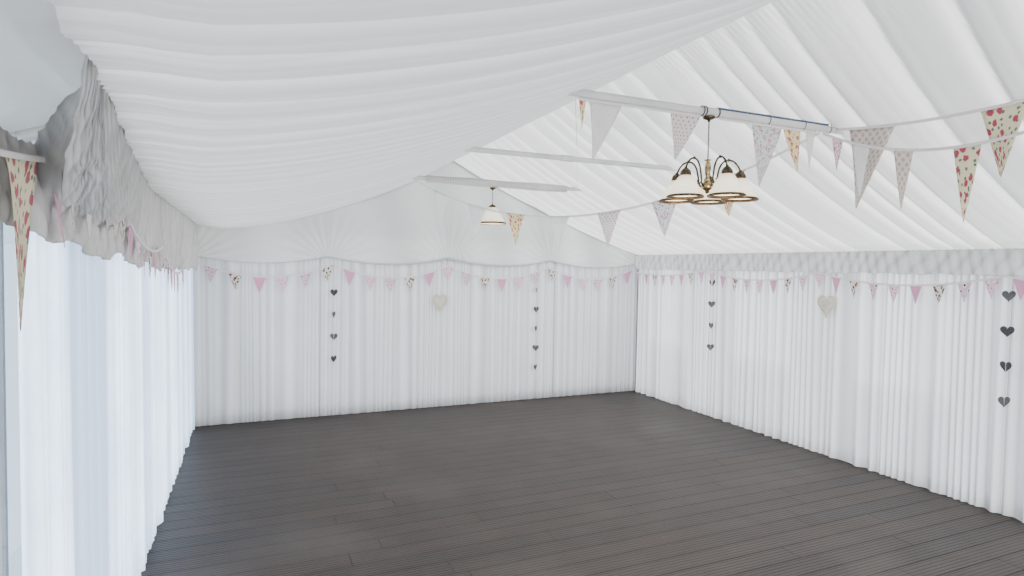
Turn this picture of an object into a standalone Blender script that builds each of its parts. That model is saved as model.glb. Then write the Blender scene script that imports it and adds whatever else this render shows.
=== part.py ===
"""Frame marquee, six metres wide and six bays long, lined with white cloth for a party.

Seven steel arches stand in a row and carry a white coated roof, walls with windows, and a cloth lining.
The origin is on the ground in the middle of the marquee. +Y runs along the ridge to the closed gable.
"""
import math

import bmesh
import bpy
from mathutils import Matrix, Vector

# Clearance between pieces that touch, and how far a cutter runs past what it cuts
CLEAR = 0.0003
CUT_PAST = 0.01

# Frame
BAYS = 6
BAY = 1.5
POST_X = 2.90
EAVE_Z = 2.10
RIDGE_Z = 3.15
POST_R = 0.022
RAFTER_R = 0.020
TIE_R = 0.019
LONG_TUBE_R = 0.018
TIE_Z = 2.53
TUBE_SIDES = 12
RAFTER_TURN = 0.3
TIE_TURN = 0.15
ROD_END_INSIDE = 0.0126
SLEEVE_R = 0.028
SLEEVE_L = 0.08
TIE_SLEEVE_R = 0.024
TIE_SLEEVE_L = 0.10
PLATE_INWARD = 0.09
PLATE_T = 0.006

# Roof and walls of coated cloth
COVER_T = 0.003
EAVE_OVERHANG = 0.05
GABLE_OVERHANG = 0.02
WINDOW_W = 0.86
WINDOW_SILL = 0.70
WINDOW_SPRING = 1.40
WINDOW_TOP = 1.75
WINDOW_ARC_STEPS = 8
WINDOW_LAP = 0.03
WINDOW_T = 0.001
DOOR_W = 1.80
DOOR_H = 2.00

# Floor
FLOOR_T = 0.03
FLOOR_SETBACK = 0.03

# Lining
LINING_T = 0.03
LINING_RIDGE = 3.00
LINING_TIE_X = {"left": 0.80, "right": 0.97}
LINING_EDGE_X = 2.74
LINING_EAVE = {"left": 2.12, "right": 1.90}
LINING_END_GAP = 0.14
TIE_SLIT = 0.0005
GABLE_LINING_T = 0.02
FRONT_LINING_EDGE = 0.05
HEM_Z = 1.80
HEM_SAG = 0.08
HEM_SWAGS = 4
CURTAIN_X = 2.70
CURTAIN_D = 0.07
BACK_CURTAIN_D = 0.05
CURTAIN_LAP = 0.06
CURTAIN_HEADING = 0.10
DRAWN_FROM = -0.97
DRAWN_TO = -0.47
VALANCE_D = 0.02
VALANCE_H = {"left": 0.37, "right": 0.185}
RUFFLE_R = 0.045
RUFFLE_END = 0.01

# Lights
CHANDELIER_Y = 0.0
PENDANT_BAYS = 2
CANOPY_R = 0.030
CANOPY_H = 0.012
CANOPY_TAPER = 0.006
CHAIN_R = 0.005
BODY_TOP = 2.29
BODY_BOTTOM = 2.125
BODY_R = 0.030
BODY_NECK = 0.01
BODY_TIP = 0.008
BODY_PROFILE = ((0.5, 0), (0.35, 0.12), (0.6, 0.36), (0.4, 0.61), (1, 0.76), (1, 0.88), (0.3, 1))
ARMS = 5
ARM_TURN = 0.636
ARM_R = 0.006
ARM_REACH = 0.165
ARM_LOW = 0.03
ARM_PEAK = 2.285
ARM_CURVE = ((0.11, 0), (0.27, 0.15), (0.33, 0.62), (0.45, 0.91), (0.64, 1), (0.82, 0.91), (0.95, 0.69))
CAP_R = 0.026
CAP_TOP = 2.215
CAP_SLOPE = 0.006
CAP_BOTTOM = 2.193
SHADE_R = 0.090
SHADE_BOTTOM = 2.085
SHADE_WALL = 0.004
PENDANT_ROD_R = 0.007
PENDANT_CAP_R = 0.035
PENDANT_CAP_TOP = 2.325
PENDANT_CAP_SLOPE = 0.01
PENDANT_CAP_BOTTOM = 2.295
PENDANT_SHADE_R = 0.135
PENDANT_SHADE_BOTTOM = 2.135

# Garlands of flags: a flag is (centre along the tape, width, height)
TAPE_H = 0.015
TAPE_T = 0.003
# Small flags as (width, height, step along the tape): on the long walls, and larger ones on the far gable
WALL_FLAG = (0.10, 0.15, 0.175)
BACK_FLAG = (0.135, 0.17, 0.23)
# Hooks along a long wall in bays from the middle, how far each is under the valance's top, and the sags
WALL_HOOK_BAYS = {"left": (-2, -1.07, -0.23, 0.27, 1.07, 2), "right": (-2.92, -2, -1, 0, 1, 2, 2.92)}
WALL_HOOK_DROPS = {
    "left": (0.15, 0.15, 0.068, 0.123, 0.268, 0.338), "right": (0.21, 0.17, 0.17, 0.17, 0.17, 0.17, 0.21),
}
WALL_SAGS = {"left": (0.09, 0.03, 0.03, 0.09, 0.13), "right": (0.05, 0.09, 0.09, 0.09, 0.09, 0.05)}
# Larger flags near the middle of the left wall, with their places in bays
LARGE_FLAGS = {
    "left": (
        (-0.47, 0.23, 0.31), (-0.333, 0.12, 0.23), (-0.227, 0.09, 0.21),
        (-0.08, 0.10, 0.18), (0.087, 0.14, 0.16),
    ),
    "right": (),
}
FLAG_SPACE = 0.01
BACK_SWAG_DROP = 0.07
BACK_SWAG_SAG = 0.15
TIE_TAPES = {"left": (-0.765, -0.055), "right": (0.06, 0.76)}
TIE_PENNANTS = {
    "left": ((-0.742, 0.04, 0.14), (-0.615, 0.19, 0.28), (-0.15, 0.19, 0.24)),
    "right": ((0.395, 0.22, 0.33), (0.575, 0.13, 0.23), (0.715, 0.07, 0.21)),
}
HIGH_TAPE_X = 0.90
HIGH_TAPE_SAG = 0.06
HIGH_TAPE_TOP = 2.537
HIGH_PENNANTS = ((-1.20, 0.20, 0.32), (-0.85, 0.20, 0.32), (-0.23, 0.27, 0.43))
LOW_TAPE_X = 0.82
LOW_TAPE_SAG = 0.20
LOW_PENNANTS = (
    (-1.10, 0.14, 0.32), (-0.75, 0.12, 0.35), (-0.46, 0.10, 0.30), (-0.23, 0.10, 0.28), (-0.09, 0.07, 0.18),
)
CROSS_TAPE_X = (-0.76, 0.79)
CROSS_TAPE_SAG = 0.40
CROSS_PENNANTS = 7
CROSS_PENNANT_FIRST = 0.335
CROSS_PENNANT_STEP = 0.424
CROSS_PENNANT_W = 0.19
CROSS_PENNANT_H = 0.25

# Cord and rod on the ties
TIE_CORD_R = 0.002
TIE_CORD_X = (-0.78, 0.085, 0.93)
BLUE_ROD_R = 0.0055
BLUE_ROD_FROM = 0.06
BLUE_ROD_END = 0.01

# Hearts
HEART_W = 0.084
HEART_H = 0.075
HEART_STEP = 0.245
STRING_W = 0.004
HEART_STRING_GAP = 0.02
# Strings of hearts: place along the wall, bare cord above the first heart's middle, hearts
BACK_STRINGS = ((-1.31, 0.29, 4), (1.17, 0.27, 5))
RIGHT_STRINGS = ((2.9, 0.13, 4), (-0.01, 0.13, 4))
HANGING_HEART_W = 0.19
HANGING_HEART_H = 0.21
HANGING_HEART_T = 0.045
RIBBON_W = 0.012
RIBBON_T = 0.003
BACK_HEART_X = -0.10
BACK_HEART_Z = 1.29
RIGHT_HEART_Y = 1.41
RIGHT_HEART_Z = 1.42

HALF_L = BAYS * BAY / 2
RUFFLED_TIE_Y = CHANDELIER_Y + PENDANT_BAYS * BAY
SLOPE = (RIDGE_Z - EAVE_Z) / POST_X
SECANT = math.sqrt(1 + SLOPE * SLOPE)
WALL_IN = POST_X + SLEEVE_R + CLEAR
WALL_OUT = WALL_IN + COVER_T
END_IN = HALF_L + SLEEVE_L / 2 + CLEAR
END_OUT = END_IN + COVER_T
LINING_HALF_L = END_IN - LINING_END_GAP
ROOF_HALF_W = WALL_OUT + EAVE_OVERHANG
ROOF_HALF_L = END_OUT + GABLE_OVERHANG
FLOOR_HALF_L = HALF_L - FLOOR_SETBACK
FLOOR_HALF_W = POST_X - PLATE_INWARD - CLEAR
SIDES = {"left": -1, "right": 1}


def clear_scene():
    for old in list(bpy.data.objects):
        bpy.data.objects.remove(old, do_unlink=True)


def finish(name, colour, roughness, metallic=0.0, clear=0.0):
    """A material of one colour for a piece."""
    material = bpy.data.materials.new(name)
    material.use_nodes = True
    shader = material.node_tree.nodes["Principled BSDF"]
    shader.inputs["Base Color"].default_value = (*colour, 1)
    shader.inputs["Roughness"].default_value = roughness
    shader.inputs["Metallic"].default_value = metallic
    shader.inputs["Transmission Weight"].default_value = clear
    return material


def add_object(name, mesh, material):
    """Puts a mesh in the scene as one named piece."""
    piece = bpy.data.objects.new(name, mesh)
    piece.data.materials.clear()
    piece.data.materials.append(material)
    bpy.context.scene.collection.objects.link(piece)
    return piece


def mesh_of(builder):
    """A mesh from a bmesh, with its faces turned outwards."""
    bmesh.ops.recalc_face_normals(builder, faces=builder.faces[:])
    mesh = bpy.data.meshes.new("shape")
    builder.to_mesh(mesh)
    builder.free()
    return mesh


def box_mesh(low, high):
    """A block between two corners."""
    builder = bmesh.new()
    size = [b - a for a, b in zip(low, high)]
    middle = [(a + b) / 2 for a, b in zip(low, high)]
    matrix = Matrix.Translation(middle) @ Matrix.Diagonal((*size, 1))
    bmesh.ops.create_cube(builder, size=1, matrix=matrix)
    return mesh_of(builder)


def slab_mesh(outline, place, depth):
    """A flat outline given a thickness, where place(u, v, d) puts its point (u, v) at depth d."""
    builder = bmesh.new()
    front = [builder.verts.new(place(u, v, depth[0])) for u, v in outline]
    back = [builder.verts.new(place(u, v, depth[1])) for u, v in outline]
    builder.faces.new(front)
    builder.faces.new(back[::-1])
    for i, here in enumerate(front):
        after = (i + 1) % len(front)
        builder.faces.new((here, back[i], back[after], front[after]))
    return mesh_of(builder)


def across(u, v, d):
    """An outline seen along the marquee: u is X, v is height, d is Y."""
    return (u, d, v)


def along(u, v, d):
    """An outline seen from the side: u is Y, v is height, d is X."""
    return (d, u, v)


def turned_mesh(profile, centre, sides):
    """A profile of (radius, height) turned about an upright axis. A radius of 0 closes it to a point."""
    builder = bmesh.new()
    rings = []
    for radius, height in profile:
        if radius == 0:
            rings.append([builder.verts.new((centre[0], centre[1], height))])
            continue
        ring = []
        for i in range(sides):
            angle = 2 * math.pi * i / sides
            x = centre[0] + radius * math.cos(angle)
            y = centre[1] + radius * math.sin(angle)
            ring.append(builder.verts.new((x, y, height)))
        rings.append(ring)
    pairs = list(zip(rings, rings[1:]))
    if len(rings[0]) > 1:
        pairs.append((rings[-1], rings[0]))
    for upper, lower in pairs:
        for i in range(sides):
            after = (i + 1) % sides
            corners = [upper[i % len(upper)], upper[after % len(upper)]]
            corners += [lower[after % len(lower)], lower[i % len(lower)]]
            builder.faces.new(list(dict.fromkeys(corners)))
    return mesh_of(builder)


def tube_mesh(path, radii, sides, turn=0.0):
    """A round tube along a path in one upright plane, with a radius at each point and flat ends.

    turn shifts its facets round by a share of one facet, so that no edges of crossing tubes coincide.
    """
    builder = bmesh.new()
    points = [Vector(point) for point in path]
    normal = (points[-1] - points[0]).cross(Vector((0, 0, 1)))
    if normal.length < 1e-6:
        normal = Vector((0, 1, 0))
    normal.normalize()
    rings = []
    for i, (point, radius) in enumerate(zip(points, radii)):
        heading = points[min(i + 1, len(points) - 1)] - points[max(i - 1, 0)]
        side = heading.normalized().cross(normal)
        ring = []
        for k in range(sides):
            angle = 2 * math.pi * (k + turn) / sides
            offset = normal * math.cos(angle) + side * math.sin(angle)
            ring.append(builder.verts.new(point + offset * radius))
        rings.append(ring)
    for ring, following in zip(rings, rings[1:]):
        for k in range(sides):
            after = (k + 1) % sides
            builder.faces.new((ring[k], ring[after], following[after], following[k]))
    builder.faces.new(rings[0])
    builder.faces.new(rings[-1])
    return mesh_of(builder)


def rod_mesh(start, end, radius, turn=0.0):
    """A straight round bar."""
    return tube_mesh([start, end], [radius, radius], TUBE_SIDES, turn)


def bore_radius(radius, gap):
    """The radius of a cutter whose flat facets clear a round bar of any turn by a gap."""
    return (radius + gap) / math.cos(math.pi / TUBE_SIDES)


def combined(base, steps):
    """The mesh that is left after a list of (operation, mesh) Boolean steps on a base mesh."""
    body = bpy.data.objects.new("body", base)
    bpy.context.scene.collection.objects.link(body)
    helpers = []
    for operation, mesh in steps:
        helper = bpy.data.objects.new("helper", mesh)
        bpy.context.scene.collection.objects.link(helper)
        helpers.append(helper)
        step = body.modifiers.new("step", "BOOLEAN")
        step.operation = operation
        step.object = helper
        step.solver = "EXACT"
    bpy.context.view_layer.update()
    seen = body.evaluated_get(bpy.context.evaluated_depsgraph_get())
    result = bpy.data.meshes.new_from_object(seen)
    for used in [body, *helpers]:
        bpy.data.objects.remove(used, do_unlink=True)
    return result


def round_off(mesh, sharp_deg=35):
    """Smooth shading with the real edges kept sharp."""
    mesh.shade_smooth()
    mesh.set_sharp_from_angle(angle=math.radians(sharp_deg))
    return mesh


def frame_ys():
    """Where the arches stand along the marquee."""
    return [-HALF_L + BAY * i for i in range(BAYS + 1)]


def rafter_z(x):
    """Height of a rafter's centre line."""
    return RIDGE_Z - SLOPE * abs(x)


def cover_under(x):
    """Height of the roof cover's underside, which lies on the sleeves."""
    return rafter_z(x) + (SLEEVE_R + CLEAR) * SECANT


def toward(start, end, distance):
    """The point at a distance from start on the way to end."""
    start, end = Vector(start), Vector(end)
    return start + (end - start).normalized() * distance


def arch_mesh():
    """One arch: posts on base plates, rafters, the tie with its joint, and sleeves for the long tubes."""
    tie_x = (RIDGE_Z - TIE_Z) / SLOPE
    half = SLEEVE_L / 2
    inside = ROD_END_INSIDE
    crown = (0, 0, RIDGE_Z)
    steps = []
    for side in (-1, 1):
        foot = (side * POST_X, 0, PLATE_T / 2)
        eave = (side * POST_X, 0, EAVE_Z)
        edges = sorted((side * (POST_X - PLATE_INWARD), side * (POST_X + SLEEVE_R)))
        low = (edges[0], -half, 0)
        high = (edges[1], half, PLATE_T)
        sleeve = ((eave[0], -half, EAVE_Z), (eave[0], half, EAVE_Z))
        rafter = (toward(eave, crown, inside), toward(crown, eave, inside))
        steps.append(("UNION", rod_mesh(*rafter, RAFTER_R, RAFTER_TURN)))
        steps.append(("UNION", rod_mesh(*sleeve, SLEEVE_R)))
        steps.append(("UNION", rod_mesh(foot, toward(eave, foot, inside), POST_R)))
        steps.append(("UNION", box_mesh(low, high)))
    steps.append(("UNION", rod_mesh((-tie_x, 0, TIE_Z), (tie_x, 0, TIE_Z), TIE_R, TIE_TURN)))
    joint = TIE_SLEEVE_L / 2
    steps.append(("UNION", rod_mesh((-joint, 0, TIE_Z), (joint, 0, TIE_Z), TIE_SLEEVE_R, TIE_TURN)))
    bore = LONG_TUBE_R + CLEAR
    for x, z in ((-POST_X, EAVE_Z), (POST_X, EAVE_Z), (0, RIDGE_Z)):
        steps.append(("DIFFERENCE", rod_mesh((x, -2 * half, z), (x, 2 * half, z), bore)))
    base = rod_mesh((0, -half, RIDGE_Z), (0, half, RIDGE_Z), SLEEVE_R)
    return round_off(combined(base, steps))


def make_frame():
    steel = finish("galvanised_tube", (0.75, 0.76, 0.77), 0.4, 0.6)
    arch = arch_mesh()
    for number, y in enumerate(frame_ys(), 1):
        piece = add_object(f"arch_{number}", arch, steel)
        piece.location = (0, y, 0)
    end = HALF_L + SLEEVE_L / 2
    long_tubes = {
        "ridge_tube": (0, RIDGE_Z),
        "eave_tube_left": (-POST_X, EAVE_Z),
        "eave_tube_right": (POST_X, EAVE_Z),
    }
    for name, (x, z) in long_tubes.items():
        mesh = round_off(rod_mesh((x, -end, z), (x, end, z), LONG_TUBE_R))
        add_object(name, mesh, steel)


def make_floor():
    boards = finish("dark_boards", (0.07, 0.05, 0.04), 0.45)
    low = (-FLOOR_HALF_W, -FLOOR_HALF_L, 0)
    high = (FLOOR_HALF_W, FLOOR_HALF_L, FLOOR_T)
    add_object("floor_boards", box_mesh(low, high), boards)


def window_outline(centre):
    """A window with a round head: upright sides from the sill to the spring, then half an ellipse."""
    half = WINDOW_W / 2
    rise = WINDOW_TOP - WINDOW_SPRING
    outline = [(centre - half, WINDOW_SILL), (centre + half, WINDOW_SILL)]
    for i in range(WINDOW_ARC_STEPS + 1):
        angle = math.pi * i / WINDOW_ARC_STEPS
        outline.append((centre + half * math.cos(angle), WINDOW_SPRING + rise * math.sin(angle)))
    return outline


def gable_edge(level):
    """The points of a gable's right-hand edge from a level up to the roof's slope."""
    eave = cover_under(WALL_OUT) - CLEAR
    if level < eave:
        return [(WALL_OUT, level), (WALL_OUT, eave)]
    return [((cover_under(0) - CLEAR - level) / SLOPE, level)]


def mirrored(right, u):
    """A closed outline from its right-hand side and the upright line at u, which may hold its end points."""
    left = [(2 * u - x, z) for x, z in right[::-1] if abs(x - u) > 1e-9]
    return right + left


def make_covers():
    """The outer skin: two roof slopes, long walls with windows, a closed gable and one with a doorway."""
    coated = finish("coated_cloth", (0.87, 0.88, 0.88), 0.45)
    clear_film = finish("clear_film", (0.85, 0.9, 0.92), 0.12, 0.0, 0.9)
    rise = COVER_T * SECANT
    for side, sign in SIDES.items():
        inner = CLEAR / 2
        outline = [
            (sign * inner, cover_under(0)),
            (sign * ROOF_HALF_W, cover_under(ROOF_HALF_W)),
            (sign * ROOF_HALF_W, cover_under(ROOF_HALF_W) + rise),
            (sign * inner, cover_under(0) + rise),
        ]
        roof = slab_mesh(outline, across, (-ROOF_HALF_L, ROOF_HALF_L))
        add_object(f"roof_cover_{side}", roof, coated)

        top = cover_under(WALL_OUT) - CLEAR
        end = END_IN - CLEAR
        faces = sorted((sign * WALL_IN, sign * WALL_OUT))
        wall = box_mesh((faces[0], -end, 0), (faces[1], end, top))
        cutters = []
        for first in frame_ys()[:-1]:
            outline = window_outline(first + BAY / 2)
            cutter = slab_mesh(outline, along, (faces[0] - CUT_PAST, faces[1] + CUT_PAST))
            cutters.append(("DIFFERENCE", cutter))
        add_object(f"wall_{side}", combined(wall, cutters), coated)

        film = sorted((sign * (WALL_IN - CLEAR), sign * (WALL_IN - CLEAR - WINDOW_T)))
        reach = HALF_L - BAY / 2 + WINDOW_W / 2 + WINDOW_LAP
        low = (film[0], -reach, WINDOW_SILL - WINDOW_LAP)
        high = (film[1], reach, WINDOW_TOP + WINDOW_LAP)
        add_object(f"windows_{side}", box_mesh(low, high), clear_film)

    apex = (0, cover_under(0) - CLEAR)
    back = gable_edge(0) + [apex]
    add_object("gable_cover_back", slab_mesh(mirrored(back, 0), across, (END_IN, END_OUT)), coated)
    front = gable_edge(DOOR_H + CLEAR) + [apex]
    add_object("gable_cover_front", slab_mesh(mirrored(front, 0), across, (-END_OUT, -END_IN)), coated)
    for side, sign in SIDES.items():
        edge = [(DOOR_W / 2, 0)] + gable_edge(0) + gable_edge(DOOR_H)[:1] + [(DOOR_W / 2, DOOR_H)]
        outline = [(sign * x, z) for x, z in edge if z <= DOOR_H]
        add_object(f"wall_front_{side}", slab_mesh(outline, across, (-END_OUT, -END_IN)), coated)


def lining_curve(side):
    """The roof lining's fall at the ridge and its bend: height = ridge - fall * x + bend * x * x."""
    fall_tie = LINING_RIDGE - (TIE_Z + LINING_T / 2)
    fall_eave = LINING_RIDGE - LINING_EAVE[side]
    tie, eave = LINING_TIE_X[side], LINING_EDGE_X
    bend = (fall_tie / tie - fall_eave / eave) / (eave - tie)
    return fall_tie / tie + bend * tie, bend


def lining_top(side, x):
    """Height of the roof lining's upper face, which passes the ridge, the tie's slit and the eave."""
    fall, bend = lining_curve(side)
    return LINING_RIDGE - fall * abs(x) + bend * x * x


def lining_reach(side, z):
    """How far from the middle the lining's underside comes down to a height."""
    fall, bend = lining_curve(side)
    drop = LINING_RIDGE - LINING_T - z
    return (fall - math.sqrt(fall * fall - 4 * bend * drop)) / (2 * bend)


def lining_edge(side):
    """The (x, height) points of the lining's upper face from ridge to eave."""
    steps = 10
    first = CLEAR / 2
    xs = [first + (LINING_EDGE_X - first) * i / steps for i in range(steps + 1)]
    return [(SIDES[side] * x, lining_top(side, x)) for x in xs]


def tie_slits():
    """Round cutters that let the ties through the lining."""
    reach = POST_X
    cutters = []
    for y in frame_ys()[1:-1]:
        mesh = rod_mesh((-reach, y, TIE_Z), (reach, y, TIE_Z), bore_radius(TIE_R, TIE_SLIT))
        cutters.append(("DIFFERENCE", mesh))
    return cutters


def make_roof_lining():
    satin = finish("lining_cloth", (0.9, 0.9, 0.9), 0.7)
    for side in SIDES:
        upper = lining_edge(side)
        lower = [(x, z - LINING_T) for x, z in upper]
        slab = slab_mesh(upper + lower[::-1], across, (-LINING_HALF_L, LINING_HALF_L))
        add_object(f"roof_lining_{side}", combined(slab, tie_slits()), satin)


def scallops(half_width, height, sag, count):
    """A hem that hangs in equal swags between hooks, from -half_width to +half_width."""
    points = []
    steps = 6
    for i in range(count * steps + 1):
        share = (i % steps) / steps
        x = -half_width + 2 * half_width * i / (count * steps)
        points.append((x, height - 4 * sag * share * (1 - share)))
    return points


def make_gable_linings():
    """Cloth across the two gables, under the slopes of the roof lining."""
    satin = finish("gable_cloth", (0.86, 0.87, 0.87), 0.75)
    half = LINING_EDGE_X
    top = lining_edge("right")[::-1] + lining_edge("left")[1:]
    inner = LINING_HALF_L + CLEAR
    outer = inner + GABLE_LINING_T
    hem = scallops(half, HEM_Z, HEM_SAG, HEM_SWAGS)
    add_object("gable_lining_back", slab_mesh(hem + top, across, (inner, outer)), satin)
    straight = [(-half, DOOR_H + CLEAR), (half, DOOR_H + CLEAR)]
    apex = [(x, z) for x, z in top if z > DOOR_H + FRONT_LINING_EDGE]
    add_object("gable_lining_front", slab_mesh(straight + apex, across, (-outer, -inner)), satin)


def curtain_top(side):
    """A long curtain ends just under the lining's eave."""
    return lining_top(side, LINING_EDGE_X) - LINING_T - CLEAR


def make_curtains():
    """Pleated cloth down the walls: the solids take the room of the pleats."""
    voile = finish("curtain_cloth", (0.88, 0.9, 0.93), 0.8)
    foot = FLOOR_T + CLEAR
    half_d = CURTAIN_D / 2
    for side, sign in SIDES.items():
        faces = sorted((sign * (CURTAIN_X - half_d), sign * (CURTAIN_X + half_d)))
        top = curtain_top(side)
        curtain = box_mesh((faces[0], -LINING_HALF_L, foot), (faces[1], LINING_HALF_L, top))
        if side == "left":
            low = (faces[0] - CUT_PAST, DRAWN_FROM, foot - CUT_PAST)
            high = (faces[1] + CUT_PAST, DRAWN_TO, top - CURTAIN_HEADING)
            curtain = combined(curtain, [("DIFFERENCE", box_mesh(low, high))])
        add_object(f"curtain_{side}", curtain, voile)

        xs = sorted((sign * (CURTAIN_X - half_d - CLEAR), sign * (CURTAIN_X - half_d - CLEAR - VALANCE_D)))
        low = (xs[0], -LINING_HALF_L, valance_bottom(side))
        high = (xs[1], LINING_HALF_L, valance_bottom(side) + VALANCE_H[side])
        add_object(f"valance_{side}", box_mesh(low, high), voile)

    inner = LINING_HALF_L + GABLE_LINING_T + 2 * CLEAR
    outer = inner + BACK_CURTAIN_D
    half = LINING_EDGE_X
    top = HEM_Z + CURTAIN_LAP
    add_object("curtain_back", box_mesh((-half, inner, foot), (half, outer, top)), voile)
    for side, sign in SIDES.items():
        xs = sorted((sign * DOOR_W / 2, sign * half))
        low, high = (xs[0], -outer, foot), (xs[1], -inner, DOOR_H + CURTAIN_LAP)
        add_object(f"curtain_front_{side}", box_mesh(low, high), voile)


def make_tie_ruffle():
    """A gathered cloth sleeve round the fourth tie inside."""
    voile = finish("ruffle_cloth", (0.9, 0.9, 0.9), 0.8)
    y = RUFFLED_TIE_Y
    left, right = (s * (lining_reach(side, TIE_Z + RUFFLE_R) - RUFFLE_END) for side, s in SIDES.items())
    sleeve = rod_mesh((left, y, TIE_Z), (right, y, TIE_Z), RUFFLE_R)
    bore_ends = ((left - CUT_PAST, y, TIE_Z), (right + CUT_PAST, y, TIE_Z))
    steps = [("DIFFERENCE", rod_mesh(*bore_ends, bore_radius(TIE_SLEEVE_R, CLEAR)))]
    add_object("tie_ruffle", round_off(combined(sleeve, steps)), voile)


def shade_profile(neck, rim, top, bottom):
    """A bell: its outer face runs down in a quarter wave from neck to rim, its inner face comes back."""
    steps = 5
    outer = []
    for i in range(steps + 1):
        share = i / steps
        swell = math.sin(share * math.pi / 2)
        outer.append((neck + (rim - neck) * swell, top - (top - bottom) * share ** 1.5))
    inner = [(max(r - SHADE_WALL, SHADE_WALL), z) for r, z in outer[1:]]
    inner.insert(0, (neck - SHADE_WALL, top - SHADE_WALL))
    return [(0, top)] + outer + inner[::-1] + [(0, top - SHADE_WALL)]


def canopy_profile(top, stem):
    """A round plate that tapers to a stem, as (radius, height) points from the middle of its top."""
    under = top - CANOPY_H
    return [(0, top), (CANOPY_R, top), (CANOPY_R, under), (stem, under - CANOPY_TAPER)]


def arm_path(angle, centre):
    """A swan-neck arm: up beside the body, over the peak and down to the lamp cap."""
    low = BODY_BOTTOM + ARM_LOW
    route = [(ARM_REACH * out, low + (ARM_PEAK - low) * up) for out, up in ARM_CURVE]
    route += [(ARM_REACH, CAP_TOP), (ARM_REACH, CAP_TOP - CAP_SLOPE), (ARM_REACH, CAP_BOTTOM)]
    return [(centre[0] + r * math.cos(angle), centre[1] + r * math.sin(angle), z) for r, z in route]


def make_chandelier():
    """A brass body on a chain, five arms with caps, and a glass bell under each cap."""
    brass = finish("aged_brass", (0.35, 0.25, 0.12), 0.35, 1.0)
    glass = finish("frosted_glass", (0.95, 0.9, 0.8), 0.4)
    centre = (0, CHANDELIER_Y)
    top = TIE_Z - TIE_SLEEVE_R - CLEAR
    height = BODY_TOP - BODY_BOTTOM
    profile = canopy_profile(top, CHAIN_R) + [(CHAIN_R, BODY_TOP + BODY_NECK)]
    profile += [(BODY_R * out, BODY_TOP - height * down) for out, down in BODY_PROFILE]
    profile.append((0, BODY_BOTTOM - BODY_TIP))
    steps = []
    for i in range(ARMS):
        angle = 2 * math.pi * (i + ARM_TURN) / ARMS
        path = arm_path(angle, centre)
        radii = [ARM_R] * (len(path) - 2) + [CAP_R, CAP_R]
        steps.append(("UNION", tube_mesh(path, radii, 8)))
        x = centre[0] + ARM_REACH * math.cos(angle)
        y = centre[1] + ARM_REACH * math.sin(angle)
        bell = shade_profile(CAP_R, SHADE_R, CAP_BOTTOM - CLEAR, SHADE_BOTTOM)
        add_object(f"chandelier_shade_{i + 1}", round_off(turned_mesh(bell, (x, y), 18)), glass)
    body = turned_mesh(profile, centre, 12)
    add_object("chandelier_frame", round_off(combined(body, steps)), brass)


def make_pendant():
    """A single lamp on a rod under the ruffled tie."""
    brass = finish("pendant_brass", (0.3, 0.24, 0.16), 0.4, 1.0)
    glass = finish("pendant_glass", (0.93, 0.92, 0.88), 0.4)
    centre = (0, RUFFLED_TIE_Y)
    top = TIE_Z - RUFFLE_R - CLEAR
    profile = canopy_profile(top, PENDANT_ROD_R) + [
        (PENDANT_ROD_R, PENDANT_CAP_TOP), (PENDANT_CAP_R, PENDANT_CAP_TOP - PENDANT_CAP_SLOPE),
        (PENDANT_CAP_R, PENDANT_CAP_BOTTOM), (0, PENDANT_CAP_BOTTOM),
    ]
    add_object("pendant_rod", round_off(turned_mesh(profile, centre, 12)), brass)
    bell = shade_profile(PENDANT_CAP_R, PENDANT_SHADE_R, PENDANT_CAP_BOTTOM - CLEAR, PENDANT_SHADE_BOTTOM)
    add_object("pendant_shade", round_off(turned_mesh(bell, centre, 20)), glass)


def garland_outline(start, end, height_at, flags):
    """The outline of a tape from start to end along u, with three-cornered flags under it."""
    knots = [start, end]
    for middle, width, _ in flags:
        knots += [middle - width / 2, middle, middle + width / 2]
    knots = sorted(set(round(k, 6) for k in knots))
    upper = [(u, height_at(u)) for u in knots]
    lower = []
    for u in knots:
        drop = TAPE_H
        for middle, _, height in flags:
            if abs(u - middle) < 1e-5:
                drop = TAPE_H + height
        lower.append((u, height_at(u) - drop))
    return upper + lower[::-1]


def flag_row(start, end, size):
    """Flags of one size at equal steps, centred between start and end."""
    width, height, step = size
    count = int((end - start - width) / step) + 1
    first = (start + end) / 2 - step * (count - 1) / 2
    return [(first + step * i, width, height) for i in range(count)]


def hung_between(hooks, heights, sags):
    """Height of a tape that sags between hooks at the given places and heights."""
    spans = list(zip(hooks, hooks[1:], heights, heights[1:], sags))

    def height_at(u):
        for a, b, height_a, height_b, sag in spans:
            if a - 1e-6 <= u <= b + 1e-6:
                share = (u - a) / (b - a)
                return height_a + share * (height_b - height_a) - 4 * sag * share * (1 - share)
        return heights[-1]
    return height_at


def swags_between(hooks, height, sag):
    """Height of a tape that sags alike between hooks of one height."""
    return hung_between(hooks, [height] * len(hooks), [sag] * (len(hooks) - 1))


def wall_flags(side, start, end):
    """The larger flags of a long wall, and small ones wherever none of them is in the way."""
    large = [(BAY * place, width, height) for place, width, height in LARGE_FLAGS[side]]

    def is_free(middle):
        half = WALL_FLAG[0] / 2 + FLAG_SPACE
        return all(abs(middle - other) > half + width / 2 for other, width, _ in large)
    return large + [flag for flag in flag_row(start, end, WALL_FLAG) if is_free(flag[0])]


def slanted(start, end):
    """Places an outline on the upright plane through two points of the plan, with u measured from start."""
    heading = Vector((end[0] - start[0], end[1] - start[1])).normalized()

    def place(u, v, d):
        return (start[0] + heading.x * u - heading.y * d, start[1] + heading.y * u + heading.x * d, v)
    return place


def valance_bottom(side):
    """Height of a valance's lower edge, which hangs from the lining's underside."""
    back = CURTAIN_X - CURTAIN_D / 2 - CLEAR
    return lining_top(side, back) - LINING_T - CLEAR - VALANCE_H[side]


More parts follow.
